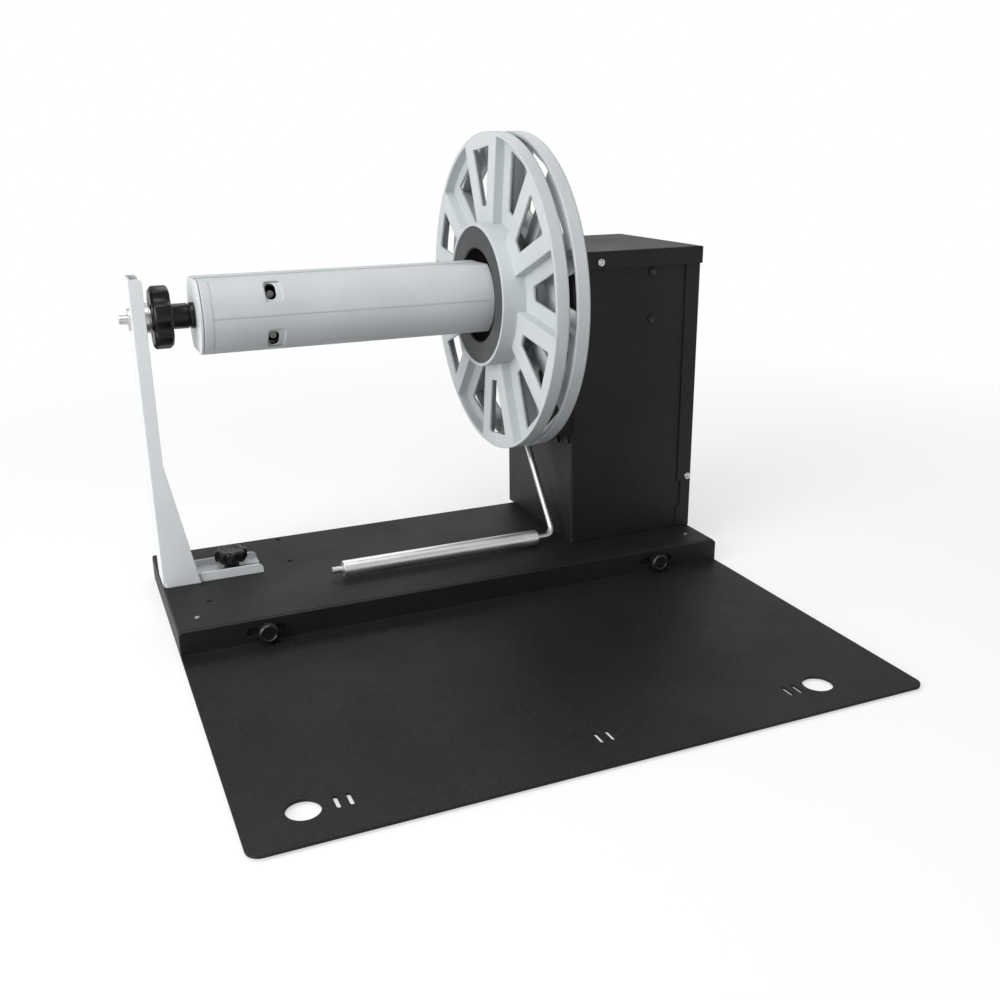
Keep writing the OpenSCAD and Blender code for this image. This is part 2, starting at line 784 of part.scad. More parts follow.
module tower_frame() color(black_paint) in_frame() difference() {
  union() {
    // Left wall, front and back in one folded sheet
    translate([0, 0, base_top]) linear_extrude(height = frame_top - base_top) difference() {
      polygon(rounded(tower_x0, tower_y0, frame_x1, tower_y1, [fold_r, 0, 0, fold_r]));
      polygon(rounded(tower_x0 + tower_t, tower_y0 + tower_t, frame_x1 + over, tower_y1 - tower_t,
                      [fold_r - tower_t, 0, 0, fold_r - tower_t]));
    }
    // Foot flanges along the front and the back of the base
    for (y = [tower_y0 + tower_t / 2, base_d - foot_flange - tower_t])
      translate([tower_x0 + tower_t / 2, y, base_top])
        cube([frame_x1 - tower_x0 - tower_t / 2, foot_flange + tower_t / 2, tower_t]);
    // Floor strip that joins the back foot flange to the wall behind it
    translate([tower_x0 + tower_t / 2, base_d - foot_flange, base_top])
      cube([frame_x1 - tower_x0 - tower_t / 2, tower_y1 - base_d + foot_flange - tower_t / 2, tower_t]);
  }
  // Hole for the shaft in the left wall
  translate([0, spindle_y, spindle_z]) rod_along_x(tower_x0 - over, tower_x0 + tower_t + over, wall_hole_d);
  // Holes for the swing's stud and its stop
  translate([0, pivot_y, pivot_z]) rod_along_x(tower_x0 - over, tower_x0 + tower_t + over, stud_d + 2 * run);
  stop_place() rod_along_x(tower_x0 - over, tower_x0 + tower_t + over, stop_neck_d + 2 * run);
  for (place = wall_screw_places)
    translate([0, place[0], place[1]])
      rod_along_x(tower_x0 - over, tower_x0 + tower_t + over, pan_shank_d + 2 * run);
  for (turn = housing_turns)
    translate([0, spindle_y, spindle_z]) rotate([turn, 0, 0]) translate([0, housing_screw_r, 0])
      rod_along_x(tower_x0 - over, tower_x0 + tower_t + over, pan_shank_d + 2 * run);
  // Screw holes at the front and the back
  for (side = [-1, 1], y = [tower_y0, tower_y1])
    translate([bracket_screw_x, y, spindle_z + side * bracket_screw_rise]) rotate([90, 0, 0])
      translate([0, 0, -tower_t - over]) cylinder(h = 2 * (tower_t + over), d = pan_shank_d + 2 * run);
  screw_cuts(lid_screw_places, pan_shank_l + over);
  screw_cuts(cover_screw_places, pan_shank_l + over);
  for (place = tower_bolt_places)
    translate([place[0], place[1], base_top - over])
      cylinder(h = tower_t + 2 * over, d = bolt_d + 2 * run);
}

module side_cover() color(black_paint) in_frame() difference() {
  translate([0, 0, base_top]) linear_extrude(height = cover_top - base_top) difference() {
    polygon(rounded(tower_x1 - return_w, tower_y0 - cover_t, tower_x1, tower_y1 + cover_t,
                    [0, cover_fold_r, cover_fold_r, 0]));
    polygon(rounded(tower_x1 - return_w - over, tower_y0, tower_x1 - cover_t, tower_y1,
                    [0, clear, clear, 0]));
  }
  // Notch in the front return
  translate([tower_x1 - return_w - over, tower_y0 - cover_t - over, base_top + notch_z])
    cube([notch_d + over, cover_t + 2 * over, notch_h]);
  // Hole for the shaft
  translate([0, spindle_y, spindle_z]) rod_along_x(tower_x1 - cover_t - over, tower_x1 + over, cover_hole_d);
  screw_cuts(lid_screw_places, pan_shank_l + over);
  screw_cuts(cover_screw_places, pan_shank_l + over);
}

module tower_lid() color(black_paint) in_frame() difference() {
  folded_cap(lid_x0, lid_y0, tower_top - lid_skirt, lid_x1, lid_y1, tower_top, cover_t, lid_fold_r);
  screw_cuts(lid_screw_places, pan_shank_l);
}

module lid_screws() color(bright_steel) in_frame() {
  for (place = lid_screw_places) translate(place[0]) rotate(place[1]) pan_screw();
}

module cover_screws() color(bright_steel) in_frame() {
  for (place = cover_screw_places) translate(place[0]) rotate(place[1]) pan_screw();
}

// Clip nuts behind the frame that take the cover screws
module cover_inserts() color(bright_steel) in_frame() {
  for (place = cover_screw_places)
    translate(place[0]) rotate(place[1]) translate([0, 0, -cover_t - tower_t]) difference() {
      translate([-clip_nut_w / 2, -clip_nut_w / 2, -clip_nut_t]) cube([clip_nut_w, clip_nut_w, clip_nut_t]);
      translate([0, 0, -clip_nut_t - over]) cylinder(h = clip_nut_t + 2 * over, d = pan_shank_d + 2 * run);
    }
}

module bracket_screws() color(black_plastic) in_frame() {
  for (side = [-1, 1])
    translate([bracket_screw_x, 0, spindle_z + side * bracket_screw_rise]) {
      translate([0, tower_y0, 0]) rotate([90, 0, 0]) dome_screw(tower_t + bracket_t + over);
      translate([0, tower_y1, 0]) rotate([-90, 0, 0]) dome_screw(tower_t + bracket_t + over);
    }
}

module tower_bolts() color(bright_steel) in_frame() {
  for (place = tower_bolt_places)
    translate([place[0], place[1], 0]) {
      translate([0, 0, base_top + tower_t]) cylinder(h = bolt_head_h, d = bolt_head_d, $fn = 6);
      translate([0, 0, tray_inside_top - bolt_head_h])
        cylinder(h = sheet_t + bolt_head_h + tower_t, d = bolt_d);
      translate([0, 0, tray_inside_top - bolt_head_h]) cylinder(h = bolt_head_h, d = bolt_head_d, $fn = 6);
    }
}

// Cross wall inside the tower that carries the second bearing
module bearing_bracket() color(bright_steel) in_frame() difference() {
  union() {
    sheet_along_x(bracket_x0, bracket_x0 + bracket_t)
      translate([tower_y0 + tower_t, spindle_z - bracket_half_h])
        square([tower_d - 2 * tower_t, 2 * bracket_half_h]);
    for (y = [tower_y0 + tower_t, tower_y1 - tower_t - bracket_t])
      translate([bracket_x0, y, spindle_z - bracket_half_h])
        cube([bracket_flange, bracket_t, 2 * bracket_half_h]);
    translate([0, spindle_y, spindle_z]) rod_along_x(bracket_ring_x0, bracket_x0 + bracket_t / 2, housing_d);
  }
  translate([0, spindle_y, spindle_z]) {
    rod_along_x(bearing_b_x0, bracket_x0 + bracket_t + over, bearing_d + 2 * run);
    rod_along_x(bracket_ring_x0 - over, bearing_b_x0 + over, bearing_d - 2 * housing_lip);
  }
  for (side = [-1, 1], y = [tower_y0, tower_y1])
    translate([bracket_screw_x, y, spindle_z + side * bracket_screw_rise]) rotate([90, 0, 0])
      translate([0, 0, -tower_t - bracket_t - over])
        cylinder(h = 2 * (tower_t + bracket_t + over), d = pan_shank_d + 2 * run);
}

module wall_bearing_housing() color(plain_aluminium) on_spindle() difference() {
  union() {
    sheet_along_x(housing_x0, housing_x0 + housing_flange_t)
      translate([-housing_flange / 2, -housing_flange / 2]) square(housing_flange);
    rod_along_x(housing_x0, housing_x0 + housing_l, housing_d);
  }
  rod_along_x(bearing_a_x0, housing_x0 + housing_l + over, bearing_d + 2 * run);
  rod_along_x(housing_x0 - over, bearing_a_x0 + over, bearing_d - 2 * housing_lip);
  for (turn = housing_turns)
    rotate([turn, 0, 0]) translate([0, housing_screw_r, 0])
      rod_along_x(housing_x0 - over, housing_x0 + housing_flange_t + over, pan_shank_d + 2 * run);
}

module housing_screws() color(black_plastic) on_spindle() {
  for (turn = housing_turns)
    rotate([turn, 0, 0]) translate([tower_x0, housing_screw_r, 0]) rotate([0, -90, 0])
      dome_screw(tower_t + housing_flange_t + over);
}

module bearing_outer_rings() color(bright_steel) on_spindle() {
  for (x = [bearing_a_x0, bearing_b_x0])
    translate([x, 0, 0]) difference() {
      tube_along_x(0, bearing_w, bearing_d, bearing_d - 2 * ring_wall);
      ball_groove();
    }
}

module bearing_inner_rings() color(bright_steel) on_spindle() {
  for (x = [bearing_a_x0, bearing_b_x0])
    translate([x, 0, 0]) difference() {
      tube_along_x(0, bearing_w, shaft_d + 2 * ring_wall, shaft_d + 2 * run);
      ball_groove();
    }
}

// Groove that the balls roll in
module ball_groove() {
  translate([bearing_w / 2, 0, 0]) rotate([0, 90, 0])
    rotate_extrude() translate([ball_pitch_r, 0]) circle(d = ball_d + 2 * run);
}

module bearing_balls() color(bright_steel) on_spindle() {
  for (x = [bearing_a_x0, bearing_b_x0], i = [0 : ball_count - 1])
    rotate([i * 360 / ball_count, 0, 0])
      translate([x + bearing_w / 2, ball_pitch_r, 0]) sphere(d = ball_d);
}

module swing_pivot_stud() color(bright_steel) in_frame() translate([0, pivot_y, pivot_z]) {
  rod_along_x(stud_x0, wall_plate_x1 + stud_nut_h, stud_d);
  rod_along_x(boss_x1 + clear, tower_x0, stud_collar_d);
}

module swing_pivot_nut() color(bright_steel) in_frame() translate([0, pivot_y, pivot_z]) difference() {
  translate([wall_plate_x1, 0, 0]) rotate([0, 90, 0])
    cylinder(h = stud_nut_h, d = stud_nut_w, $fn = 6);
  rod_along_x(wall_plate_x1 - over, wall_plate_x1 + stud_nut_h + over, stud_d + 2 * run);
}

// Moves to the stop behind the resting rod
module stop_place() {
  translate([0, pivot_y, pivot_z]) rotate([-swing_lean, 0, 0])
    translate([0, (rod_d + stop_d) / 2 + clear, -stop_reach]) children();
}

module swing_stop_pin() color(bright_steel) in_frame() stop_place() {
  rod_along_x(rod_x - rod_d / 2, tower_x0, stop_d);
  rod_along_x(tower_x0, tower_x0 + tower_t + over, stop_neck_d);
}

module wall_screws() color(black_plastic) in_frame() {
  for (place = wall_screw_places)
    translate([tower_x0, place[0], place[1]]) rotate([0, -90, 0]) dome_screw(tower_t + wall_plate_t + over);
}

// Plate inside the left wall that stiffens the swing's pivot
module wall_plate() color(bright_steel) in_frame() difference() {
  sheet_along_x(tower_x0 + tower_t, wall_plate_x1)
    polygon(rounded(wall_plate_y0, wall_plate_z0, pivot_y + stop_reach, wall_plate_z1,
                    [fold_r, fold_r, fold_r, fold_r]));
  translate([0, pivot_y, pivot_z]) rod_along_x(tower_x0, wall_plate_x1 + over, stud_d + 2 * run);
  stop_place() rod_along_x(tower_x0, wall_plate_x1 + over, stop_d);
  for (place = wall_screw_places)
    translate([0, place[0], place[1]]) rod_along_x(tower_x0, wall_plate_x1 + over, pan_shank_d + 2 * run);
}

module spindle_shaft() color(bright_steel) on_spindle() difference() {
  union() {
    rod_along_x(tip_x, shaft_step_x, tip_d);
    rod_along_x(shaft_step_x, shaft_x1, shaft_d);
  }
  rod_along_x(shaft_x1 - crank_bolt_l, shaft_x1 + over, crank_bolt_d + 2 * run);
}

// Block that the shells are guided by
module mandrel_core() color(plain_aluminium) on_spindle() difference() {
  translate([core_x0, -core_t / 2, -core_h / 2]) cube([core_x1 - core_x0, core_t, core_h]);
  rod_along_x(core_x0 - over, core_x1 + over, shaft_d + 2 * run);
  for (side = [-1, 1], turn = [90, -90])
    translate([window_x, 0, side * guide_z]) rotate([turn, 0, 0]) translate([0, 0, guide_root])
      cylinder(h = core_t, d = guide_d + 2 * run);
  for (side = [-1, 1])
    translate([0, 0, side * post_z]) rod_along_x(core_x0 - over, core_x0 + post_bite, post_d + 2 * run);
}

// Outline across the mandrel, with round front and back and flat top and bottom
module mandrel_outline(r, h) {
  intersection() {
    circle(r = r);
    translate([-r, -h / 2]) square([2 * r, h]);
  }
}

module mandrel_end_plate() color(grey_paint) on_spindle() difference() {
  sheet_along_x(end_plate_x0, end_plate_x1) mandrel_outline(mandrel_r, mandrel_h);
  rod_along_x(end_plate_x0 - over, end_plate_x1 + over, sleeve_d + 2 * clear);
  for (side = [-1, 1])
    translate([0, 0, side * post_z]) {
      rod_along_x(end_plate_x0 - over, end_plate_x1 + over, post_d + 2 * run);
      rod_along_x(end_plate_x0 - over, end_plate_x0 + end_plate_t / 2, post_head_d + 2 * run);
    }
}

// Long screws that tie the end plate to the core
module end_plate_screws() color(bright_steel) on_spindle() {
  for (side = [-1, 1])
    translate([0, 0, side * post_z]) {
      rod_along_x(end_plate_x0, end_plate_x0 + end_plate_t / 2, post_head_d);
      rod_along_x(end_plate_x0 + end_plate_t / 2, core_x0 + post_bite - clear, post_d);
    }
}

module shell_guide_screws() color(bright_steel) on_spindle() {
  for (side = [-1, 1], turn = [90, -90])
    translate([window_x, 0, side * guide_z]) rotate([turn, 0, 0]) {
      translate([0, 0, guide_root]) cylinder(h = guide_end - guide_root, d = guide_d);
      translate([0, 0, guide_end - guide_head_l]) cylinder(h = guide_head_l, d = guide_head_d);
    }
}

// Points of a curve that rounds the corner at p between a and b
function round_corner(a, p, b, r) =
  let (
    u = (a - p) / norm(a - p),
    v = (b - p) / norm(b - p),
    reach = r / tan(acos(u * v) / 2)
  )
  [for (i = [0 : corner_steps]) let (t = i / corner_steps)
    (1 - t) * (1 - t) * (p + u * reach) + 2 * t * (1 - t) * p + t * t * (p + v * reach)];

// Closed outline with all its corners rounded
function round_outline(points, r) = let (n = len(points))
  [for (i = [0 : n - 1]) each round_corner(points[(i + n - 1) % n], points[i], points[(i + 1) % n], r)];

// Wedge between two radial walls, centred on the first axis
module sector_wedge() {
  half = sector_angle / 2;
  tip = flange_wall / 2 / sin(half);
  spread = flange_r * tan(half);
  polygon([[tip, 0], [tip + flange_r, -spread], [tip + flange_r, spread]]);
}

// Window between the two bars of a sector
module sector_window() {
  half = sector_angle / 2;
  outer_half_w = window_outer_r * tan(half) - bar_w / cos(half);
  inner_half_w = window_inner_r * tan(half) - bar_w / cos(half);
  polygon(round_outline([[window_inner_r, -inner_half_w], [window_outer_r, -outer_half_w],
                         [window_outer_r, outer_half_w], [window_inner_r, inner_half_w]], window_corner_r));
}

// Hollow of one sector from x0 to x1, with its window
module sector_hollow(x0, x1, turn) {
  rotate([turn, 0, 0]) {
    intersection() {
      tube_along_x(x0, x1, flange_d - 2 * rim_w, hub_d - 2 * hub_wall);
      sheet_along_x(x0, x1) sector_wedge();
    }
    sheet_along_x(-over, flange_t + over) sector_window();
  }
}

// Thin-walled wheel: sectors lie in turn at its front and its back, joined by radial walls.
// Its rim's front face is at x = 0 and its hub stands out in front of it.
module flange_moulding(turn) {
  difference() {
    tube_along_x(0, flange_t, flange_d, hub_d - hub_wall);
    for (i = [0 : sector_count - 1]) {
      sector_hollow(flange_wall, flange_t + over, 180 - turn + 2 * i * sector_angle);
      sector_hollow(-over, flange_t - flange_wall, 180 - turn + (2 * i + 1) * sector_angle);
    }
  }
  difference() {
    rod_along_x(-hub_l, flange_t, hub_d);
    rod_along_x(-hub_l - over, floor_x0, hub_d - 2 * hub_wall);
    rod_along_x(floor_x0 + flange_wall, flange_t + over, hub_d - 2 * hub_wall);
    rod_along_x(floor_x0 - over, floor_x0 + flange_wall + over, 2 * ring_hole_r);
  }
}

module inner_flange() color(grey_plastic) on_spindle()
  translate([inner_x1, 0, 0]) mirror([1, 0, 0]) flange_moulding(inner_turn);

module inner_flange_hub() color(plain_aluminium) on_spindle() difference() {
  union() {
    rod_along_x(disc_x0, disc_x1, hub_d - 2 * hub_wall - 2 * run);
    rod_along_x(disc_x1, hub_boss_x1, hub_boss_d);
  }
  rod_along_x(disc_x0 - over, hub_boss_x1 + over, shaft_d + 2 * run);
}

module outer_flange() color(grey_plastic) on_spindle()
  translate([outer_x0, 0, 0]) flange_moulding(outer_turn);

module grip_ring() color(dark_rubber) on_spindle() {
  tube_along_x(outer_x0 + floor_x0 - ring_t, outer_x0 + floor_x0, hub_d - 2 * hub_wall - 2 * run,
               2 * ring_hole_r);
  // Web that rides on the mandrel
  sheet_along_x(outer_x0 + floor_x0 - web_t, outer_x0 + floor_x0) difference() {
    circle(r = ring_hole_r + hub_wall);
    mandrel_outline(mandrel_r + clear, mandrel_h + 2 * clear);
  }
}

module shaft_collars() color(bright_steel) on_spindle() {
  for (x = [bearing_a_x0 + bearing_w + run, bracket_ring_x0 - clear - drag_t - collar_w])
    tube_along_x(x, x + collar_w, collar_d, shaft_d + 2 * run);
}

module drag_washer() color(pale_felt) on_spindle()
  tube_along_x(bracket_ring_x0 - clear - drag_t, bracket_ring_x0 - clear, drag_d, shaft_d + 2 * run);

module crank_hub() color(bright_steel) on_spindle()
  tube_along_x(crank_hub_x0, crank_x0, crank_hub_d, shaft_d + 2 * run);

module crank_arm() color(bright_steel) on_spindle() difference() {
  sheet_along_x(crank_x0, crank_x0 + crank_t) polygon(stadium(0, crank_r, crank_w));
  rod_along_x(crank_x0 - over, crank_x0 + crank_t + over, shaft_d + 2 * run);
  translate([0, crank_r, 0]) rod_along_x(crank_x0 - over, crank_x0 + crank_t + over, grip_pin_d + 2 * run);
}

module crank_bolt() color(bright_steel) on_spindle() {
  rod_along_x(crank_x0 + crank_t, crank_x0 + crank_t + washer_t, shaft_d + 2 * washer_t);
  translate([crank_x0 + crank_t + washer_t, 0, 0]) rotate([0, 90, 0])
    cylinder(h = crank_bolt_head_l, d = crank_bolt_head_d, $fn = 6);
  rod_along_x(shaft_x1 - crank_bolt_l + clear, crank_x0 + crank_t + washer_t, crank_bolt_d);
}

module grip_pin() color(bright_steel) on_spindle() translate([0, crank_r, 0]) {
  rod_along_x(crank_x0 - washer_t, crank_x0, grip_pin_d + 2 * washer_t);
  rod_along_x(crank_x0, grip_x0 + grip_l + grip_cap_l, grip_pin_d);
  rod_along_x(grip_x0 + grip_l + clear, grip_x0 + grip_l + grip_cap_l, grip_pin_d + 2 * grip_cap_l);
}

module crank_grip() color(black_plastic) on_spindle() translate([grip_x0, crank_r, 0])
  rotate([0, 90, 0]) rotate_extrude() {
    polygon(concat(
      [[grip_pin_d / 2 + run, 0]],
      [for (i = [0 : grip_steps]) let (u = i / grip_steps)
        [grip_d / 2 * (grip_neck_share + (1 - grip_neck_share) * sin(180 * pow(u, grip_belly_share))),
         u * grip_l]],
      [[grip_pin_d / 2 + run, grip_l]]
    ));
  }

// Half profile of a disc of radius r and length l, its ends drawn in by bevel over bevel_l
module bevelled_profile(r, l, bevel, bevel_l) {
  polygon([[0, 0], [r - bevel, 0], [r, bevel_l], [r, l - bevel_l], [r - bevel, l], [0, l]]);
}

module star_knob() color(black_plastic) on_spindle() difference() {
  union() {
    intersection() {
      sheet_along_x(knob_x0, knob_x1) rotate(180 / star_lobes)
        star(knob_d, star_lobes, star_scallop_share);
      translate([knob_x0, 0, 0]) rotate([0, 90, 0]) rotate_extrude()
        bevelled_profile(knob_d / 2, knob_l, knob_bevel, knob_bevel_l);
    }
    rod_along_x(knob_x1 - over, knob_hub_x1, knob_hub_d);
    rod_along_x(knob_hub_x1 - over, knob_hub_x1 + knob_groove_l + over, knob_groove_d);
    rod_along_x(knob_hub_x1 + knob_groove_l, knob_hub_x1 + knob_neck_l, knob_neck_d);
  }
  rod_along_x(knob_x0 - over, knob_hub_x1 + knob_neck_l + over, tip_d + 2 * run);
  rod_along_x(sleeve_x0, knob_hub_x1 + knob_neck_l + over, sleeve_d + 2 * run);
}

// Threaded sleeve that the knob turns, inside the end of the mandrel
module knob_sleeve() color(bright_steel) on_spindle()
  tube_along_x(sleeve_x0 + clear, sleeve_x1, sleeve_d, tip_d + 2 * run);

module knob_washer() color(bright_steel) on_spindle()
  tube_along_x(washer_x0, washer_x0 + washer_t, washer_d, tip_d + 2 * run);

// Nut on the sleeve with two ramped bars that spread the shells
module wedge_carrier() color(bright_steel) on_spindle() difference() {
  union() {
    translate([yoke_x0, -bar_out, -yoke_h / 2]) cube([yoke_t, 2 * bar_out, yoke_h]);
    for (side = [0, 1]) mirror([0, side, 0]) {
      translate([yoke_x0, bar_in, -bar_h / 2])
        cube([ramp_x0 + (ramp_count - 1) * ramp_pitch + ramp_l - yoke_x0, bar_t, bar_h]);
      for (i = [0 : ramp_count - 1])
        translate([ramp_x0 + i * ramp_pitch, 0, -bar_h / 2]) linear_extrude(height = bar_h)
          polygon([[0, bar_out - over], [ramp_l, bar_out - over], [ramp_l, bar_out + ramp_h], [0, bar_out]]);
    }
  }
  rod_along_x(yoke_x0 - over, yoke_x0 + yoke_t + over, sleeve_d + 2 * run);
}

// Panel with rounded corners round the origin
module centred_panel(length, height, r) {
  polygon(rounded(-length / 2, -height / 2, length / 2, height / 2, [r, r, r, r]));
}

// One half of the mandrel, behind the spindle's axis
module shell_half() {
  difference() {
    union() {
      sheet_along_x(shell_x0, shell_x1) mandrel_outline(mandrel_r, mandrel_h);
      sheet_along_x(shell_x0, shell_x0 + lip_l) mandrel_outline(mandrel_r + lip_proud, mandrel_h);
    }
    difference() {
      sheet_along_x(shell_x0 - over, shell_x1 + over)
        mandrel_outline(mandrel_r - shell_t, mandrel_h - 2 * shell_t);
      // Ribs that lie on the ramps
      for (i = [0 : ramp_count - 1])
        translate([ramp_x0 + i * ramp_pitch, 0, -rib_w / 2]) linear_extrude(height = rib_w)
          polygon([[rib_start, bar_out + rib_start * ramp_slope + clear],
                   [rib_start + rib_l, bar_out + (rib_start + rib_l) * ramp_slope + clear],
                   [rib_start + rib_l, mandrel_r], [rib_start, mandrel_r]]);
    }
    // The other half, with the gap between the two
    translate([shell_x0 - over, -2 * mandrel_r, -mandrel_r])
      cube([shell_x1 - shell_x0 + 2 * over, 2 * mandrel_r + split_half, 2 * mandrel_r]);
    // Windows in front of the guide screws, each in a shallow pocket
    for (side = [-1, 1]) translate([window_x, 0, side * window_z]) {
      sheet_along_y(split_half, mandrel_r + over) centred_panel(window_l, window_h, window_r);
      translate([pocket_shift, 0, 0]) intersection() {
        sheet_along_y(split_half, mandrel_r + over) centred_panel(pocket_l, pocket_h, pocket_r);
        translate([0, 0, -side * window_z]) difference() {
          rod_along_x(-pocket_l, pocket_l, 2 * (mandrel_r + over));
          rod_along_x(-pocket_l - over, pocket_l + over, 2 * (mandrel_r - pocket_deep));
        }
      }
    }
    // Seam along the middle
    translate([shell_x0 + lip_l, mandrel_r - seam_deep, -seam_w / 2])
      cube([shell_x1 - shell_x0, mandrel_r, seam_w]);
  }
}

module front_shell() color(grey_plastic) on_spindle() mirror([0, 1, 0]) shell_half();

module rear_shell() color(grey_plastic) on_spindle() shell_half();

// Side flange of the support arm, drawn in X and Z
module arm_side_outline() {
  polygon(concat(
    [[arm_x0, base_top], [arm_x0 + arm_root, base_top], [arm_x0 + arm_channel, base_top + arm_kink]],
    arc_points(arm_x0 + arm_channel - arm_corner_r, arm_top - arm_corner_r, arm_corner_r, 0, 90, fold_steps),
    [[arm_x0, arm_top]]
  ));
}

module support_arm() color(grey_paint) in_frame() difference() {
  union() {
    translate([arm_x0, arm_y0, base_top]) cube([arm_t, arm_w, arm_top - base_top]);
    for (y = [arm_y0, arm_y1 - arm_t]) sheet_along_y(y, y + arm_t) arm_side_outline();
    // Foot with its lips inside the arm's side flanges
    for (y = [arm_y0 + arm_t, arm_y1 - 2 * arm_t])
      sheet_along_y(y, y + arm_t)
        polygon(rounded(arm_x0, base_top, arm_x0 + foot_l, base_top + foot_lip, [0, 0, lip_r, 0]));
    translate([arm_x0, arm_y0 + arm_t, base_top]) cube([foot_l, arm_w - 2 * arm_t, arm_t]);
  }
  translate([0, spindle_y, spindle_z])
    rod_along_x(arm_x0 - over, arm_x0 + arm_t + over, bush_spigot_d + 2 * run);
  // Slot, open to the right, that slides past the clamp's stud
  translate([clamp_x - slot_reach + clamp_slot_w / 2, clamp_y, base_top - over]) {
    cylinder(h = arm_t + 2 * over, d = clamp_slot_w);
    translate([0, -clamp_slot_w / 2, 0]) cube([foot_l, clamp_slot_w, arm_t + 2 * over]);
  }
  // Relief cuts at the bottom corners
  for (y = [arm_y0 + arm_t / 2, arm_y1 - arm_t / 2])
    translate([arm_x0 + arm_t / 2, y, base_top - over]) cylinder(h = relief_h + over, d = relief_d);
}

module arm_bush() color(bright_steel) on_spindle() difference() {
  union() {
    rod_along_x(arm_x0 - bush_lip_t, arm_x0, bush_lip_d);
    rod_along_x(arm_x0, arm_x0 + arm_t, bush_spigot_d);
    rod_along_x(arm_x0 + arm_t, bush_x1, bush_d);
  }
  rod_along_x(arm_x0 - bush_lip_t - over, bush_x1 + over, tip_d + 2 * run);
}

module clamp_knob() color(black_plastic) in_frame() translate([clamp_x, clamp_y, 0]) difference() {
  union() {
    translate([0, 0, clamp_z0]) cylinder(h = clamp_stem_l + over, d = clamp_stem_d);
    intersection() {
      translate([0, 0, clamp_z0 + clamp_stem_l]) linear_extrude(height = clamp_l)
        star(clamp_d, clamp_lobes, clamp_scallop_share);
      translate([0, 0, clamp_z0 + clamp_stem_l]) rotate_extrude()
        bevelled_profile(clamp_d / 2, clamp_l, clamp_bevel, clamp_bevel);
    }
  }
  translate([0, 0, clamp_z1 - clamp_cap_t]) cylinder(h = clamp_cap_t + over, d = clamp_cap_d + 2 * run);
  translate([0, 0, clamp_z0 - over])
    cylinder(h = clamp_stem_l + over, d = clamp_stud_d + 2 * run);
}

module clamp_stud() color(bright_steel) in_frame() translate([clamp_x, clamp_y, clamp_z0 - clamp_stud_l])
  cylinder(h = clamp_stud_l + clamp_stem_l - clear, d = clamp_stud_d);

module clamp_cap() color(dark_rubber) in_frame() translate([clamp_x, clamp_y, clamp_z1 - clamp_cap_t])
  cylinder(h = clamp_cap_t, d = clamp_cap_d);

// Knurled head and screw, along +Y from the front face of the plate's flange
module thumb_screw(x) {
  translate([x, -clear, thumb_z]) rotate([90, 0, 0]) difference() {
    union() {
      cylinder(h = thumb_l, d = thumb_d - 2 * thumb_bevel);
      translate([0, 0, thumb_bevel]) linear_extrude(height = thumb_l - 2 * thumb_bevel)
        polygon([for (i = [0 : 2 * knurl_count - 1])
          let (r = thumb_d / 2 - (i % 2) * knurl_r, a = i * 180 / knurl_count) [r * cos(a), r * sin(a)]]);
    }
    translate([0, 0, thumb_l - thumb_dish_depth]) cylinder(h = thumb_l, r = thumb_dish_r);
  }
  translate([x, -clear - over, thumb_z]) rotate([-90, 0, 0])
    cylinder(h = thumb_screw_l + over, d = thumb_screw_d);
}

module left_thumb_screw() color(black_plastic) in_frame() thumb_screw(thumb_x_left);

module right_thumb_screw() color(black_plastic) in_frame() thumb_screw(thumb_x_right);

// Bent rod: its long leg carries the roller and its short leg goes up to the boss
module swing_rod() color(bright_steel) in_frame()
  translate([rod_x, roller_y, roller_z]) rotate([-swing_lean, 0, 0]) {
    translate([0, 0, bend_r]) cylinder(h = swing_l - rod_seat - bend_r, d = rod_d);
    translate([-bend_r, 0, bend_r]) rotate([90, 0, 0]) rotate([0, 0, -90])
      rotate_extrude(angle = 90) translate([bend_r, 0]) circle(d = rod_d);
    rod_along_x(roller_x0 - rod_x - rod_tip, -bend_r, rod_d);
  }

module swing_boss() color(bright_steel) in_frame() translate([0, pivot_y, pivot_z]) difference() {
  rod_along_x(boss_x0, boss_x1, boss_d);
  rod_along_x(stud_x0 - clear, boss_x1 + over, stud_d + 2 * run);
  rotate([-swing_lean, 0, 0]) translate([rod_x, 0, -boss_d])
    cylinder(h = boss_d - rod_seat, d = rod_d + 2 * run);
}

module rod_clips() color(bright_steel) in_frame() translate([0, roller_y, roller_z]) {
  for (x = [roller_x0 - clear - clip_t, roller_x1 + clear])
    tube_along_x(x, x + clip_t, clip_d, rod_d + 2 * run);
}

module roller_tube() color(plain_aluminium) in_frame() translate([0, roller_y, roller_z])
  tube_along_x(roller_x0, roller_x1, roller_d, roller_d - 2 * roller_wall);

module roller_bushes() color(dark_rubber) in_frame() translate([0, roller_y, roller_z]) {
  for (x = [roller_x0, roller_x1 - roller_bush_l])
    tube_along_x(x, x + roller_bush_l, roller_d - 2 * roller_wall - 2 * run, rod_d + 2 * run);
}

base_tray();
front_plate();
rubber_feet();
plate_feet();
base_top_screws();
thumb_inserts();
clamp_insert();
tower_frame();
side_cover();
tower_lid();
lid_screws();
cover_screws();
cover_inserts();
bracket_screws();
tower_bolts();
bearing_bracket();
wall_bearing_housing();
housing_screws();
bearing_outer_rings();
bearing_balls();
swing_pivot_stud();
swing_pivot_nut();
swing_stop_pin();
wall_screws();
wall_plate();
spindle_shaft();
mandrel_core();
mandrel_end_plate();
end_plate_screws();
shell_guide_screws();
inner_flange();
inner_flange_hub();
bearing_inner_rings();
shaft_collars();
drag_washer();
crank_arm();
crank_hub();
crank_bolt();
grip_pin();
crank_grip();
star_knob();
knob_sleeve();
knob_washer();
wedge_carrier();
front_shell();
rear_shell();
outer_flange();
grip_ring();
support_arm();
arm_bush();
clamp_knob();
clamp_stud();
clamp_cap();
left_thumb_screw();
right_thumb_screw();
swing_rod();
swing_boss();
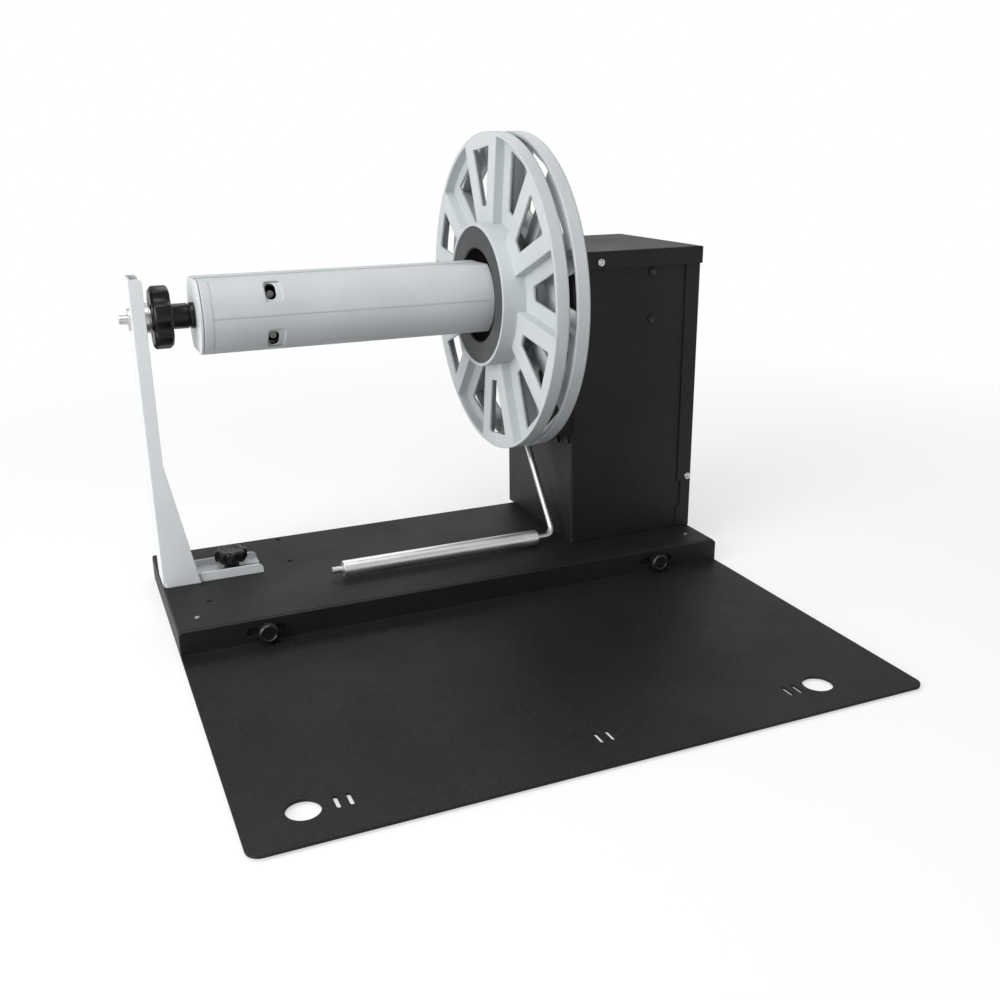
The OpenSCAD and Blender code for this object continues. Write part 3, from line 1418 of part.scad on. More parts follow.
rod_clips();
roller_tube();
roller_bushes();
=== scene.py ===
"""A bench-top label rewinder with a hand crank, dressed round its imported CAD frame."""

import json
import logging
import math
from dataclasses import dataclass, field
from enum import Enum
from typing import Callable, Optional, Sequence, Union

import bmesh
import bpy
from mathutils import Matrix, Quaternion, Vector

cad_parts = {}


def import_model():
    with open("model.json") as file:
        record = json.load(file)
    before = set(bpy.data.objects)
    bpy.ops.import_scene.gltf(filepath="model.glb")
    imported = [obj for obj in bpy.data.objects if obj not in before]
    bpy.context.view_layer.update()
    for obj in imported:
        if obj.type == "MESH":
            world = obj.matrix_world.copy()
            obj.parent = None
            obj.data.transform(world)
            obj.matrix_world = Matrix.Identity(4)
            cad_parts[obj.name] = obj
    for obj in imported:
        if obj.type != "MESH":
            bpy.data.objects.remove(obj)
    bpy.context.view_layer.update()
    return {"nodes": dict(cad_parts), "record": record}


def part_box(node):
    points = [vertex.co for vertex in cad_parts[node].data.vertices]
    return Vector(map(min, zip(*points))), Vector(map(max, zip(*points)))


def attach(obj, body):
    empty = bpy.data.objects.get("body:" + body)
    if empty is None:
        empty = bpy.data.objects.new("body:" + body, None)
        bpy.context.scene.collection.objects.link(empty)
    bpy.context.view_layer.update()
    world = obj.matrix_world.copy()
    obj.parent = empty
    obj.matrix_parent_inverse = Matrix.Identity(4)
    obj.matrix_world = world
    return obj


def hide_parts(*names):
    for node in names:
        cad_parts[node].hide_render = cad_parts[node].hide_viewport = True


log = logging.getLogger("rewinder")

MM = 0.001
SPINDLE_Y = 0.1335
SPINDLE_Z = 0.265

Colour = tuple[float, float, float]
Socket = bpy.types.NodeSocket


class Lay(Enum):
    """Direction of the fine lines that a tool leaves on metal."""

    ALONG_X = "lines along X"
    PLAIN = "no lines"


class Nodes:
    """Adds nodes to one tree."""

    def __init__(self, tree: bpy.types.NodeTree) -> None:
        """Starts with an empty tree.

        Args:
            tree: The tree of a material or a world.
        """
        self.tree = tree
        tree.nodes.clear()

    def node(self, kind: str, inputs: Optional[dict] = None, **settings) -> bpy.types.Node:
        """Adds a node.

        Args:
            kind: Blender's type name of the node.
            inputs: Values or sockets for its inputs, by name or index.
            settings: Its own properties.

        Returns:
            The new node.
        """
        made = self.tree.nodes.new(kind)
        for key, value in settings.items():
            setattr(made, key, value)
        for key, value in (inputs or {}).items():
            if isinstance(value, bpy.types.NodeSocket):
                self.tree.links.new(value, made.inputs[key])
            else:
                made.inputs[key].default_value = value
        return made

    def either(self, *flags: Socket) -> Socket:
        """Says whether any of some flags is set.

        Args:
            flags: Values of 0 or 1.

        Returns:
            The largest of them.
        """
        found = flags[0]
        for flag in flags[1:]:
            found = self.node("ShaderNodeMath", {0: found, 1: flag}, operation="MAXIMUM").outputs[0]
        return found

    def choose(self, share: Socket, first: Union[float, Socket], second: Union[float, Socket]) -> Socket:
        """Mixes two numbers.

        Args:
            share: How much of the second.
            first: Number at 0.
            second: Number at 1.

        Returns:
            The mixed number.
        """
        return self.node("ShaderNodeMix", {"Factor": share, "A": first, "B": second}).outputs[0]

    def span(self, value: Socket, low: float, high: float, start: float = 0.3, end: float = 0.7) -> Socket:
        """Maps a value to a range, clamped.

        Args:
            value: The value to map.
            low: Result at the start.
            high: Result at the end.
            start: Value that gives low.
            end: Value that gives high.

        Returns:
            The mapped value.
        """
        inputs = {"Value": value, "From Min": start, "From Max": end, "To Min": low, "To Max": high}
        return self.node("ShaderNodeMapRange", inputs).outputs[0]


class Graph(Nodes):
    """Builds the node graph of one material."""

    def __init__(self, name: str) -> None:
        """Starts an empty material.

        Args:
            name: The material's name.
        """
        self.material = bpy.data.materials.new(name)
        self.material.use_nodes = True
        super().__init__(self.material.node_tree)
        self.output = self.node("ShaderNodeOutputMaterial")
        self.place = self.node("ShaderNodeTexCoord").outputs["Object"]

    def noise(self, scale: float, detail: float = 3.0, stretch: Sequence[float] = (1, 1, 1)) -> Socket:
        """Adds a noise texture.

        Args:
            scale: Features in a metre.
            detail: Octaves of the noise.
            stretch: Scale along each axis.

        Returns:
            The texture's value.
        """
        spread = self.node("ShaderNodeMapping", {"Vector": self.place, "Scale": tuple(stretch)}).outputs[0]
        inputs = {"Vector": spread, "Scale": scale, "Detail": detail, "Roughness": 0.6}
        return self.node("ShaderNodeTexNoise", inputs).outputs[0]

    def blend(self, share: Socket, first: Colour, second: Colour) -> Socket:
        """Mixes two colours.

        Args:
            share: How much of the second colour.
            first: Colour at 0.
            second: Colour at 1.

        Returns:
            The mixed colour.
        """
        ramp = self.node("ShaderNodeValToRGB", {"Fac": share})
        ramp.color_ramp.elements[0].color = (*first, 1)
        ramp.color_ramp.elements[1].color = (*second, 1)
        return ramp.outputs[0]

    def layer(self, share: Socket, below: Socket, above: Colour) -> Socket:
        """Lays one colour over another.

        Args:
            share: How much of the colour above.
            below: Colour that is covered.
            above: Colour that covers.

        Returns:
            The mixed colour.
        """
        mix = self.node("ShaderNodeMix", data_type="RGBA")
        self.tree.links.new(share, mix.inputs[0])
        self.tree.links.new(below, mix.inputs[6])
        mix.inputs[7].default_value = (*above, 1)
        return mix.outputs[2]

    def bump(self, height: Socket, strength: float, depth: float, normal: Optional[Socket] = None) -> Socket:
        """Bends the surface by a height.

        Args:
            height: The height from 0 to 1.
            strength: Share of the effect.
            depth: Depth in metres at height 1.
            normal: Normal that is bent, if any.

        Returns:
            The bent normal.
        """
        inputs = {"Height": height, "Strength": strength, "Distance": depth}
        if normal is not None:
            inputs["Normal"] = normal
        return self.node("ShaderNodeBump", inputs).outputs[0]

    def round_edges(self, radius: float) -> Socket:
        """Gives a normal that rounds sharp edges.

        Args:
            radius: Radius in metres.

        Returns:
            The rounded normal.
        """
        return self.node("ShaderNodeBevel", {"Radius": radius}, samples=6).outputs[0]

    def surface(self, inputs: dict) -> bpy.types.Material:
        """Ends the graph with its shader.

        Args:
            inputs: Values and sockets of the shader.

        Returns:
            The finished material.
        """
        shader = self.node("ShaderNodeBsdfPrincipled", inputs)
        self.tree.links.new(shader.outputs[0], self.output.inputs[0])
        return self.material


@dataclass(frozen=True)
class PowderCoat:
    """Fine textured black powder coat on folded sheet."""

    colour: Colour = (0.0072, 0.0070, 0.0074)
    grain: float = 1000.0
    roughness: float = 0.5
    shine: float = 0.22
    speck: Colour = (0.020, 0.020, 0.0215)
    edge: float = 0.0014

    def make(self, name: str) -> bpy.types.Material:
        """Makes the material.

        Args:
            name: The material's name.

        Returns:
            The material.
        """
        g = Graph(name)
        deep = tuple(0.72 * c for c in self.colour)
        pale = tuple(1.5 * c for c in self.colour)
        colour = g.blend(g.span(g.noise(9.0, 4.0), 0.0, 1.0), deep, pale)
        speck = g.span(g.noise(self.grain * 0.9, 1.0), 0.0, 1.0, 0.56, 0.68)
        colour = g.layer(speck, colour, self.speck)
        rough = g.span(g.noise(14.0, 4.0), self.roughness - 0.04, self.roughness + 0.06)
        normal = g.bump(g.noise(self.grain, 2.0), 0.5, 0.00020, g.round_edges(self.edge))
        return g.surface({"Base Color": colour, "Roughness": rough, "Normal": normal,
                          "Specular IOR Level": self.shine})


@dataclass(frozen=True)
class SprayPaint:
    """Smooth light paint on bent steel sheet, with a faint orange peel."""

    colour: Colour = (0.62, 0.65, 0.66)
    roughness: float = 0.38
    edge: float = 0.0007

    def make(self, name: str) -> bpy.types.Material:
        """Makes the material.

        Args:
            name: The material's name.

        Returns:
            The material.
        """
        g = Graph(name)
        deep = tuple(0.93 * c for c in self.colour)
        pale = tuple(min(1.0, 1.05 * c) for c in self.colour)
        colour = g.blend(g.span(g.noise(11.0, 5.0), 0.0, 1.0), deep, pale)
        scuff = g.span(g.noise(60.0, 5.0, (1, 1, 0.25)), 0.0, 0.35, 0.66, 0.76)
        colour = g.layer(scuff, colour, tuple(0.72 * c for c in self.colour))
        rough = g.span(g.noise(35.0, 4.0), self.roughness - 0.06, self.roughness + 0.08)
        normal = g.bump(g.noise(420.0, 2.0), 0.16, 0.00012, g.round_edges(self.edge))
        return g.surface({"Base Color": colour, "Roughness": rough, "Normal": normal})


@dataclass(frozen=True)
class Moulding:
    """Matt moulded plastic with a fine spark-eroded grain."""

    colour: Colour
    roughness: float = 0.5
    grain: float = 1100.0
    grain_depth: float = 0.00005
    edge: float = 0.0007
    mottle: float = 0.05
    shine: float = 0.4

    def make(self, name: str) -> bpy.types.Material:
        """Makes the material.

        Args:
            name: The material's name.

        Returns:
            The material.
        """
        g = Graph(name)
        deep = tuple((1.0 - self.mottle) * c for c in self.colour)
        pale = tuple(min(1.0, (1.0 + self.mottle) * c) for c in self.colour)
        colour = g.blend(g.span(g.noise(16.0, 5.0), 0.0, 1.0), deep, pale)
        rub = g.span(g.noise(90.0, 6.0, (0.4, 1, 1)), 0.0, 0.25, 0.64, 0.75)
        colour = g.layer(rub, colour, tuple(min(1.0, 0.8 * c + 0.02) for c in self.colour))
        rough = g.span(g.noise(28.0, 4.0), self.roughness - 0.06, self.roughness + 0.08)
        normal = g.bump(g.noise(self.grain, 2.0), 0.5, self.grain_depth, g.round_edges(self.edge))
        return g.surface({"Base Color": colour, "Roughness": rough, "Normal": normal,
                          "Specular IOR Level": self.shine})


@dataclass(frozen=True)
class Steel:
    """Bare metal with the fine lines of its machining."""

    colour: Colour = (0.64, 0.63, 0.62)
    roughness: float = 0.34
    lay: Lay = Lay.PLAIN
    pitch: float = 900.0
    edge: float = 0.0003

    def make(self, name: str) -> bpy.types.Material:
        """Makes the material.

        Args:
            name: The material's name.

        Returns:
            The material.
        """
        g = Graph(name)
        deep = tuple(0.86 * c for c in self.colour)
        stretch = (0.02, 1, 1) if self.lay is Lay.ALONG_X else (1, 1, 1)
        lines = g.noise(self.pitch, 3.0, stretch)
        colour = g.blend(g.span(lines, 0.0, 1.0), deep, self.colour)
        rough = g.span(g.noise(45.0, 4.0), self.roughness - 0.06, self.roughness + 0.08)
        normal = g.bump(lines, 0.22, 0.00002, g.round_edges(self.edge))
        return g.surface({"Base Color": colour, "Metallic": 1.0, "Roughness": rough, "Normal": normal})


@dataclass(frozen=True)
class Felt:
    """Pressed wool felt."""

    colour: Colour = (0.42, 0.39, 0.31)

    def make(self, name: str) -> bpy.types.Material:
        """Makes the material.

        Args:
            name: The material's name.

        Returns:
            The material.
        """
        g = Graph(name)
        fibre = g.noise(1400.0, 6.0, (0.4, 1, 1))
        deep = tuple(0.6 * c for c in self.colour)
        pale = tuple(1.3 * c for c in self.colour)
        colour = g.blend(fibre, deep, pale)
        return g.surface({"Base Color": colour, "Roughness": 0.92, "Normal": g.bump(fibre, 0.8, 0.0003)})


@dataclass
class Finishes:
    """Every finish of the machine, by the record's slot names."""

    black_paint: PowderCoat = PowderCoat()
    grey_paint: SprayPaint = SprayPaint()
    grey_plastic: Moulding = Moulding((0.49, 0.52, 0.53), 0.46, edge=0.0022)
    black_plastic: Moulding = Moulding((0.0058, 0.0058, 0.0062), 0.3, grain=900.0, grain_depth=0.00008,
                                       edge=0.0010, mottle=0.2, shine=0.27)
    dark_rubber: Moulding = Moulding((0.055, 0.058, 0.060), 0.62, grain=700.0, grain_depth=0.0001,
                                     edge=0.0005, mottle=0.12, shine=0.3)
    steel: Steel = Steel()
    aluminium: Steel = Steel((0.86, 0.865, 0.87), 0.38, Lay.ALONG_X, pitch=1100.0)
    black_steel: Moulding = Moulding((0.008, 0.008, 0.009), 0.32, grain=500.0, grain_depth=0.00003,
                                     edge=0.0004, mottle=0.15, shine=0.35)
    felt: Felt = Felt()
    dull_steel: Steel = Steel((0.15, 0.15, 0.155), 0.30)
    # Near-black matt finish with almost no shine, used as painted shade on pieces that stand where only
    # shade falls
    deep_black: Moulding = Moulding((0.0016, 0.0016, 0.0017), 0.85, grain=600.0, grain_depth=0.0001,
                                    edge=0.0003, mottle=0.2, shine=0.02)
    made: dict[str, bpy.types.Material] = field(default_factory=dict)

    def get(self, slot: str) -> bpy.types.Material:
        """Gives a slot's material, made at its first use.

        Args:
            slot: The record's slot name.

        Returns:
            The material.
        """
        if slot not in self.made:
            self.made[slot] = getattr(self, slot).make(slot)
        return self.made[slot]


Ring = tuple[float, float]
Row = list[bmesh.types.BMVert]
Swell = Callable[[float, float], float]


def join_rings(bm: bmesh.types.BMesh, rows: list[Row], closed: bool) -> None:
    """Joins rings of points with faces.

    Args:
        bm: The mesh data.
        rows: The rings, each with as many points.
        closed: Joins the last ring to the first.
    """
    pairs = list(zip(rows, rows[1:]))
    if closed:
        pairs.append((rows[-1], rows[0]))
    count = len(rows[0])
    for low, high in pairs:
        for i in range(count):
            j = (i + 1) % count
            bm.faces.new((low[i], low[j], high[j], high[i]))


def corner(face: float, radius: float, steps: Sequence[Ring], inward: int = 1) -> list[Ring]:
    """Rounds the corner between a face and a turned side.

    Args:
        face: Place of the face along the axis.
        radius: The side's radius.
        steps: Depth under the face and loss of radius in mm, from the face to the side.
        inward: 1 where the piece lies beyond the face, or -1 where it lies before it.

    Returns:
        The corner's rings, in order along the axis.
    """
    rings = [(face + inward * deep * MM, radius - loss * MM) for deep, loss in steps]
    return rings if inward > 0 else rings[::-1]


@dataclass
class Turned:
    """Makes pieces of rings round an axis, plain or lobed."""

    centre: Vector
    axis: Vector = field(default_factory=lambda: Vector((1, 0, 0)))
    segments: int = 96

    def build(self, name: str, rings: Sequence[Ring], swell: Optional[Swell] = None,
              tube: bool = False) -> bpy.types.Object:
        """Builds a piece from its rings.

        Args:
            name: The piece's name.
            rings: Distance along the axis and radius of each ring.
            swell: Gives the real radius from the angle and the ring's radius.
            tube: Joins the last ring to the first instead of capping both.

        Returns:
            The new object.
        """
        bm = bmesh.new()
        turn = self.axis.to_track_quat("Z", "Y")
        rows = []
        for along, radius in rings:
            row = []
            for i in range(self.segments):
                angle = math.tau * i / self.segments
                r = swell(angle, radius) if swell else radius
                spot = turn @ Vector((r * math.cos(angle), r * math.sin(angle), along))
                row.append(bm.verts.new(self.centre + spot))
            rows.append(row)
        join_rings(bm, rows, tube)
        if not tube:
            bm.faces.new(tuple(reversed(rows[0])))
            bm.faces.new(tuple(rows[-1]))
        bmesh.ops.recalc_face_normals(bm, faces=bm.faces[:])
        return finish_mesh(name, bm)


def finish_mesh(name: str, bm: bmesh.types.BMesh, sharp: float = 38.0) -> bpy.types.Object:
    """Turns mesh data into an object that is smooth but for its sharp edges.

    Args:
        name: The object's name.
        bm: The mesh data, which is freed.
        sharp: Edges that bend by more degrees stay sharp.

    Returns:
        The new object.
    """
    mesh = bpy.data.meshes.new(name)
    bm.to_mesh(mesh)
    bm.free()
    mesh.shade_smooth()
    mesh.set_sharp_from_angle(angle=math.radians(sharp))
    made = bpy.data.objects.new(name, mesh)
    bpy.context.scene.collection.objects.link(made)
    return made


def dress(piece: bpy.types.Object, body: str, slot: str, finishes: Finishes, *stands_for: str,
          look: str = "") -> bpy.types.Object:
    """Gives a piece its finish and its body.

    Args:
        piece: The piece.
        body: The CAD body that it rides on.
        slot: The record's slot of its finish.
        finishes: The machine's finishes.
        stands_for: The CAD nodes that it replaces.
        look: Finish that is shown in place of the slot's own.

    Returns:
        The same piece.
    """
    piece.data.materials.clear()
    piece.data.materials.append(finishes.get(look or slot))
    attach(piece, body)
    if stands_for:
        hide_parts(*stands_for)
    log.info("%s rides on %s in %s", piece.name, body, slot)
    return piece


@dataclass(frozen=True)
class Lobes:
    """Round scallops that leave lobes on a knob's widest rings."""

    full: float
    count: int
    cut: float
    outside: float
    first: float = 0.0
    start: float = 0.72
    softness: float = 0.05

    def edge(self, angle: float) -> float:
        """Gives the head's radius in a direction.

        Args:
            angle: Direction round the axis.

        Returns:
            The radius, with a soft crest beside each scallop.
        """
        step = math.tau / self.count
        off = (angle - self.first) % step - step / 2
        centre = self.full + self.outside * self.cut
        side = centre * math.sin(off)
        if abs(side) >= self.cut:
            return self.full
        inner = centre * math.cos(off) - math.sqrt(self.cut * self.cut - side * side)
        soft = self.softness * self.full
        mix = max(0.0, min(1.0, 0.5 + 0.5 * (self.full - inner) / soft))
        return self.full + (inner - self.full) * mix - soft * mix * (1.0 - mix)

    def outline(self, angle: float, radius: float) -> float:
        """Cuts the scallops in the head's rings.

        Args:
            angle: Direction round the axis.
            radius: The ring's radius.

        Returns:
            The real radius.
        """
        if radius < self.start * self.full:
            return radius
        return radius * self.edge(angle) / self.full


@dataclass
class StarKnob:
    """The spindle's star knob: a lobed head, its hub and a black collar."""

    full: float = 27.5 * MM
    head: float = 16 * MM
    hub: float = 11 * MM
    hub_length: float = 15 * MM
    groove: float = 1.2 * MM
    groove_depth: float = 1.1 * MM
    collar: float = 11.5 * MM
    lobes: int = 6
    first_lobe: float = math.radians(45.3)
    cut: float = 9.35 * MM
    outside: float = 0.6
    bore: float = 4.1 * MM
    sleeve: float = 8.1 * MM
    dish_depth: float = 0.6 * MM
    dish: tuple[float, ...] = (0.40, 0.43, 0.60, 0.63)
    head_corner: tuple[Ring, ...] = ((0, 2.6), (0.3, 1.9), (1.2, 0.8), (2.0, 0.2), (2.8, 0))
    fillet: tuple[Ring, ...] = ((0, 2.2), (0.5, 0.9), (2.0, 0))
    small_corner: float = 0.4 * MM
    hub_corner: float = 0.7 * MM
    collar_corner: float = 0.3 * MM

    def hub_rings(self, end: float) -> list[Ring]:
        """Gives the rings of the hub, the groove and the collar.

        Args:
            end: The knob's whole length.

        Returns:
            The rings, outside and then back through the bore.
        """
        hub_end = self.head + self.hub_length
        start = hub_end + self.groove
        rings = [(self.head + deep * MM, self.hub + gain * MM) for deep, gain in self.fillet]
        rings += [(hub_end - self.hub_corner, self.hub), (hub_end, self.hub - self.hub_corner),
                  (hub_end, self.hub - self.groove_depth), (start, self.hub - self.groove_depth),
                  (start, self.collar - self.collar_corner), (start + self.small_corner, self.collar),
                  (end - self.small_corner, self.collar), (end, self.collar - self.small_corner)]
        return rings + [(end, self.sleeve), (self.head / 2, self.sleeve), (self.head / 2, self.bore)]

    def build(self, finishes: Finishes) -> None:
        """Builds the knob on the spindle.

        Args:
            finishes: The machine's finishes.
        """
        low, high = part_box("star_knob")
        inner, inner_low, outer_low, outer = (share * self.full for share in self.dish)
        rings = [(0, self.bore), (0, inner), (self.dish_depth, inner_low)]
        rings += [(self.dish_depth, outer_low), (0, outer)]
        rings += corner(0, self.full, self.head_corner)
        rings += corner(self.head, self.full, self.head_corner, -1)
        rings += self.hub_rings(high.x - low.x)
        lobes = Lobes(self.full, self.lobes, self.cut, self.outside, self.first_lobe)
        turned = Turned(Vector((low.x, SPINDLE_Y, SPINDLE_Z)), segments=216)
        body = turned.build("star_knob_body", rings, lobes.outline, tube=True)
        dress(body, "knob", "black_plastic", finishes, "star_knob")


@dataclass
class ClampKnob:
    """The small lobed knob that clamps the support arm."""

    full: float = 15 * MM
    head: float = 10.5 * MM
    lobes: int = 8
    cut_share: float = 0.84
    outside: float = 0.52
    stem: float = 7 * MM
    stem_corner: float = 0.5 * MM
    play: float = 0.05 * MM
    stem_fillet: tuple[Ring, ...] = ((0.8, 0), (0, 0.9))
    head_corner: tuple[Ring, ...] = ((0, 2.4), (0.4, 1.2), (1.3, 0.3), (2.2, 0))
    cap_corner: tuple[Ring, ...] = ((0, 0.6), (0.4, 0))

    def build(self, finishes: Finishes) -> None:
        """Builds the knob above the arm's foot.

        Args:
            finishes: The machine's finishes.
        """
        low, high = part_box("clamp_knob")
        cap_low, cap_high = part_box("clamp_cap")
        stem_low, stem_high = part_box("clamp_stud")
        end = high.z - low.z
        under = end - self.head
        cap = (cap_high.x - cap_low.x) / 2 + self.play
        sink = cap_low.z - low.z - self.play
        bore = (stem_high.x - stem_low.x) / 2 + self.play
        rings = [(0, bore), (0, self.stem - self.stem_corner), (self.stem_corner, self.stem)]
        rings += [(under - deep * MM, self.stem + gain * MM) for deep, gain in self.stem_fillet]
        rings += corner(under, self.full, self.head_corner)
        rings += corner(end, self.full, self.head_corner, -1)
        rings += [(end - deep * MM, cap + gain * MM) for deep, gain in self.cap_corner]
        rings += [(sink, cap), (sink, bore)]
        cut = self.cut_share * self.full * math.sin(math.pi / self.lobes)
        lobes = Lobes(self.full, self.lobes, cut, self.outside)
        centre = Vector(((low.x + high.x) / 2, (low.y + high.y) / 2, low.z))
        turned = Turned(centre, Vector((0, 0, 1)), 192)
        body = turned.build("clamp_knob_body", rings, lobes.outline, tube=True)
        dress(body, "clamp", "black_plastic", finishes, "clamp_knob")


@dataclass
class ThumbScrews:
    """The two knurled screws that hold the front plate."""

    full: float = 8.5 * MM
    length: float = 9.5 * MM
    teeth: int = 54
    tooth: float = 0.42 * MM
    knurl_band: float = 0.7 * MM
    dish: float = 6 * MM
    shank: float = 3 * MM
    shank_corner: float = 0.5 * MM
    under_corner: tuple[Ring, ...] = ((0, 1.9), (1.0, 0.9), (1.7, 0))
    face_corner: tuple[Ring, ...] = ((0, 1.7), (0.2, 1.3), (1.0, 0.9), (1.7, 0))
    dish_steps: tuple[Ring, ...] = ((0, 0.3), (0.3, 0), (0.8, -0.5), (0.8, -1.0))

    def outline(self, angle: float, radius: float) -> float:
        """Presses a straight knurl into the head's widest rings.

        Args:
            angle: Direction round the axis.
            radius: The ring's radius.

        Returns:
            The real radius.
        """
        if radius < self.full - self.knurl_band:
            return radius
        wave = abs(((angle * self.teeth / math.tau) % 1.0) * 2.0 - 1.0)
        return radius - self.tooth * wave

    def build(self, finishes: Finishes) -> None:
        """Builds both screws, each on its own body.

        Args:
            finishes: The machine's finishes.
        """
        for node, body in (("left_thumb_screw", "thumb_left"), ("right_thumb_screw", "thumb_right")):
            low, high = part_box(node)
            deep = high.y - low.y
            under = deep - self.length
            rings = [(0, self.shank - self.shank_corner), (self.shank_corner, self.shank)]
            rings.append((under, self.shank))
            rings += corner(under, self.full, self.under_corner)
            rings += corner(deep, self.full, self.face_corner, -1)
            rings += [(deep - sink * MM, self.dish + gain * MM) for sink, gain in self.dish_steps]
            centre = Vector(((low.x + high.x) / 2, high.y, (low.z + high.z) / 2))
            turned = Turned(centre, Vector((0, -1, 0)), self.teeth * 4)
            screw = turned.build(node + "_body", rings, self.outline)
            dress(screw, body, "black_steel", finishes, node)


@dataclass
class GripRing:
    """The dark ring in the outer flange's hub, with a toothed bore and a near-black sheet behind it that is
    painted shade in the hole round the mandrel.
    """

    outer: float = 64.9 * MM
    bore: float = 44.3 * MM
    teeth: int = 80
    tooth: float = 1.3 * MM
    tooth_band: float = 2 * MM
    outer_corner: float = 0.5 * MM
    bore_corner: float = 0.3 * MM
    bore_depth: float = 0.4 * MM
    # The next three size the near-black sheet behind the ring, which is painted shade in the hole and no
    # real part
    web: float = 1.5 * MM
    web_gap: float = 0.05 * MM
    web_inset: float = 1 * MM
    round_hole: float = 38.3 * MM
    flat_hole: float = 31.8 * MM
    hole_band: float = 1 * MM
    segments: int = 480

    def toothed(self, angle: float, radius: float) -> float:
        """Cuts the bore's small teeth.

        Args:
            angle: Direction round the axis.
            radius: The ring's radius.

        Returns:
            The real radius.
        """
        if radius > self.bore + self.tooth_band:
            return radius
        return radius + self.tooth * (0.5 + 0.5 * math.cos(angle * self.teeth))

    def fitted(self, angle: float, radius: float) -> float:
        """Follows the mandrel's round and flat sides.

        Args:
            angle: Direction round the axis.
            radius: The ring's radius.

        Returns:
            The real radius.
        """
        if radius > self.round_hole + self.hole_band:
            return radius
        rise = abs(math.sin(angle))
        return min(radius, (self.flat_hole + radius - self.round_hole) / max(rise, 1e-6))

    def build(self, finishes: Finishes) -> None:
        """Builds the ring and the near-black sheet behind it, which paints the shade in its hole.

        Args:
            finishes: The machine's finishes.
        """
        low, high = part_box("grip_ring")
        back = high.x - low.x - self.web
        rings = [(0, self.outer - self.outer_corner), (0, self.bore + self.bore_corner),
                 (self.bore_depth, self.bore), (back, self.bore), (back, self.outer),
                 (self.outer_corner, self.outer)]
        turned = Turned(Vector((low.x, SPINDLE_Y, SPINDLE_Z)), segments=self.segments)
        ring = turned.build("grip_ring_body", rings, self.toothed, tube=True)
        dress(ring, "flange", "dark_rubber", finishes, "grip_ring")
        # The sheet behind the ring is near-black painted shade, filling the hole round the mandrel
        front, rim = back + self.web_gap, self.outer - self.web_inset
        far = back + self.web
        rings = [(front, rim), (front, self.round_hole), (far, self.round_hole), (far, rim)]
        web = turned.build("grip_ring_shade_sheet", rings, self.fitted, tube=True)
        dress(web, "flange", "black_plastic", finishes, look="deep_black")


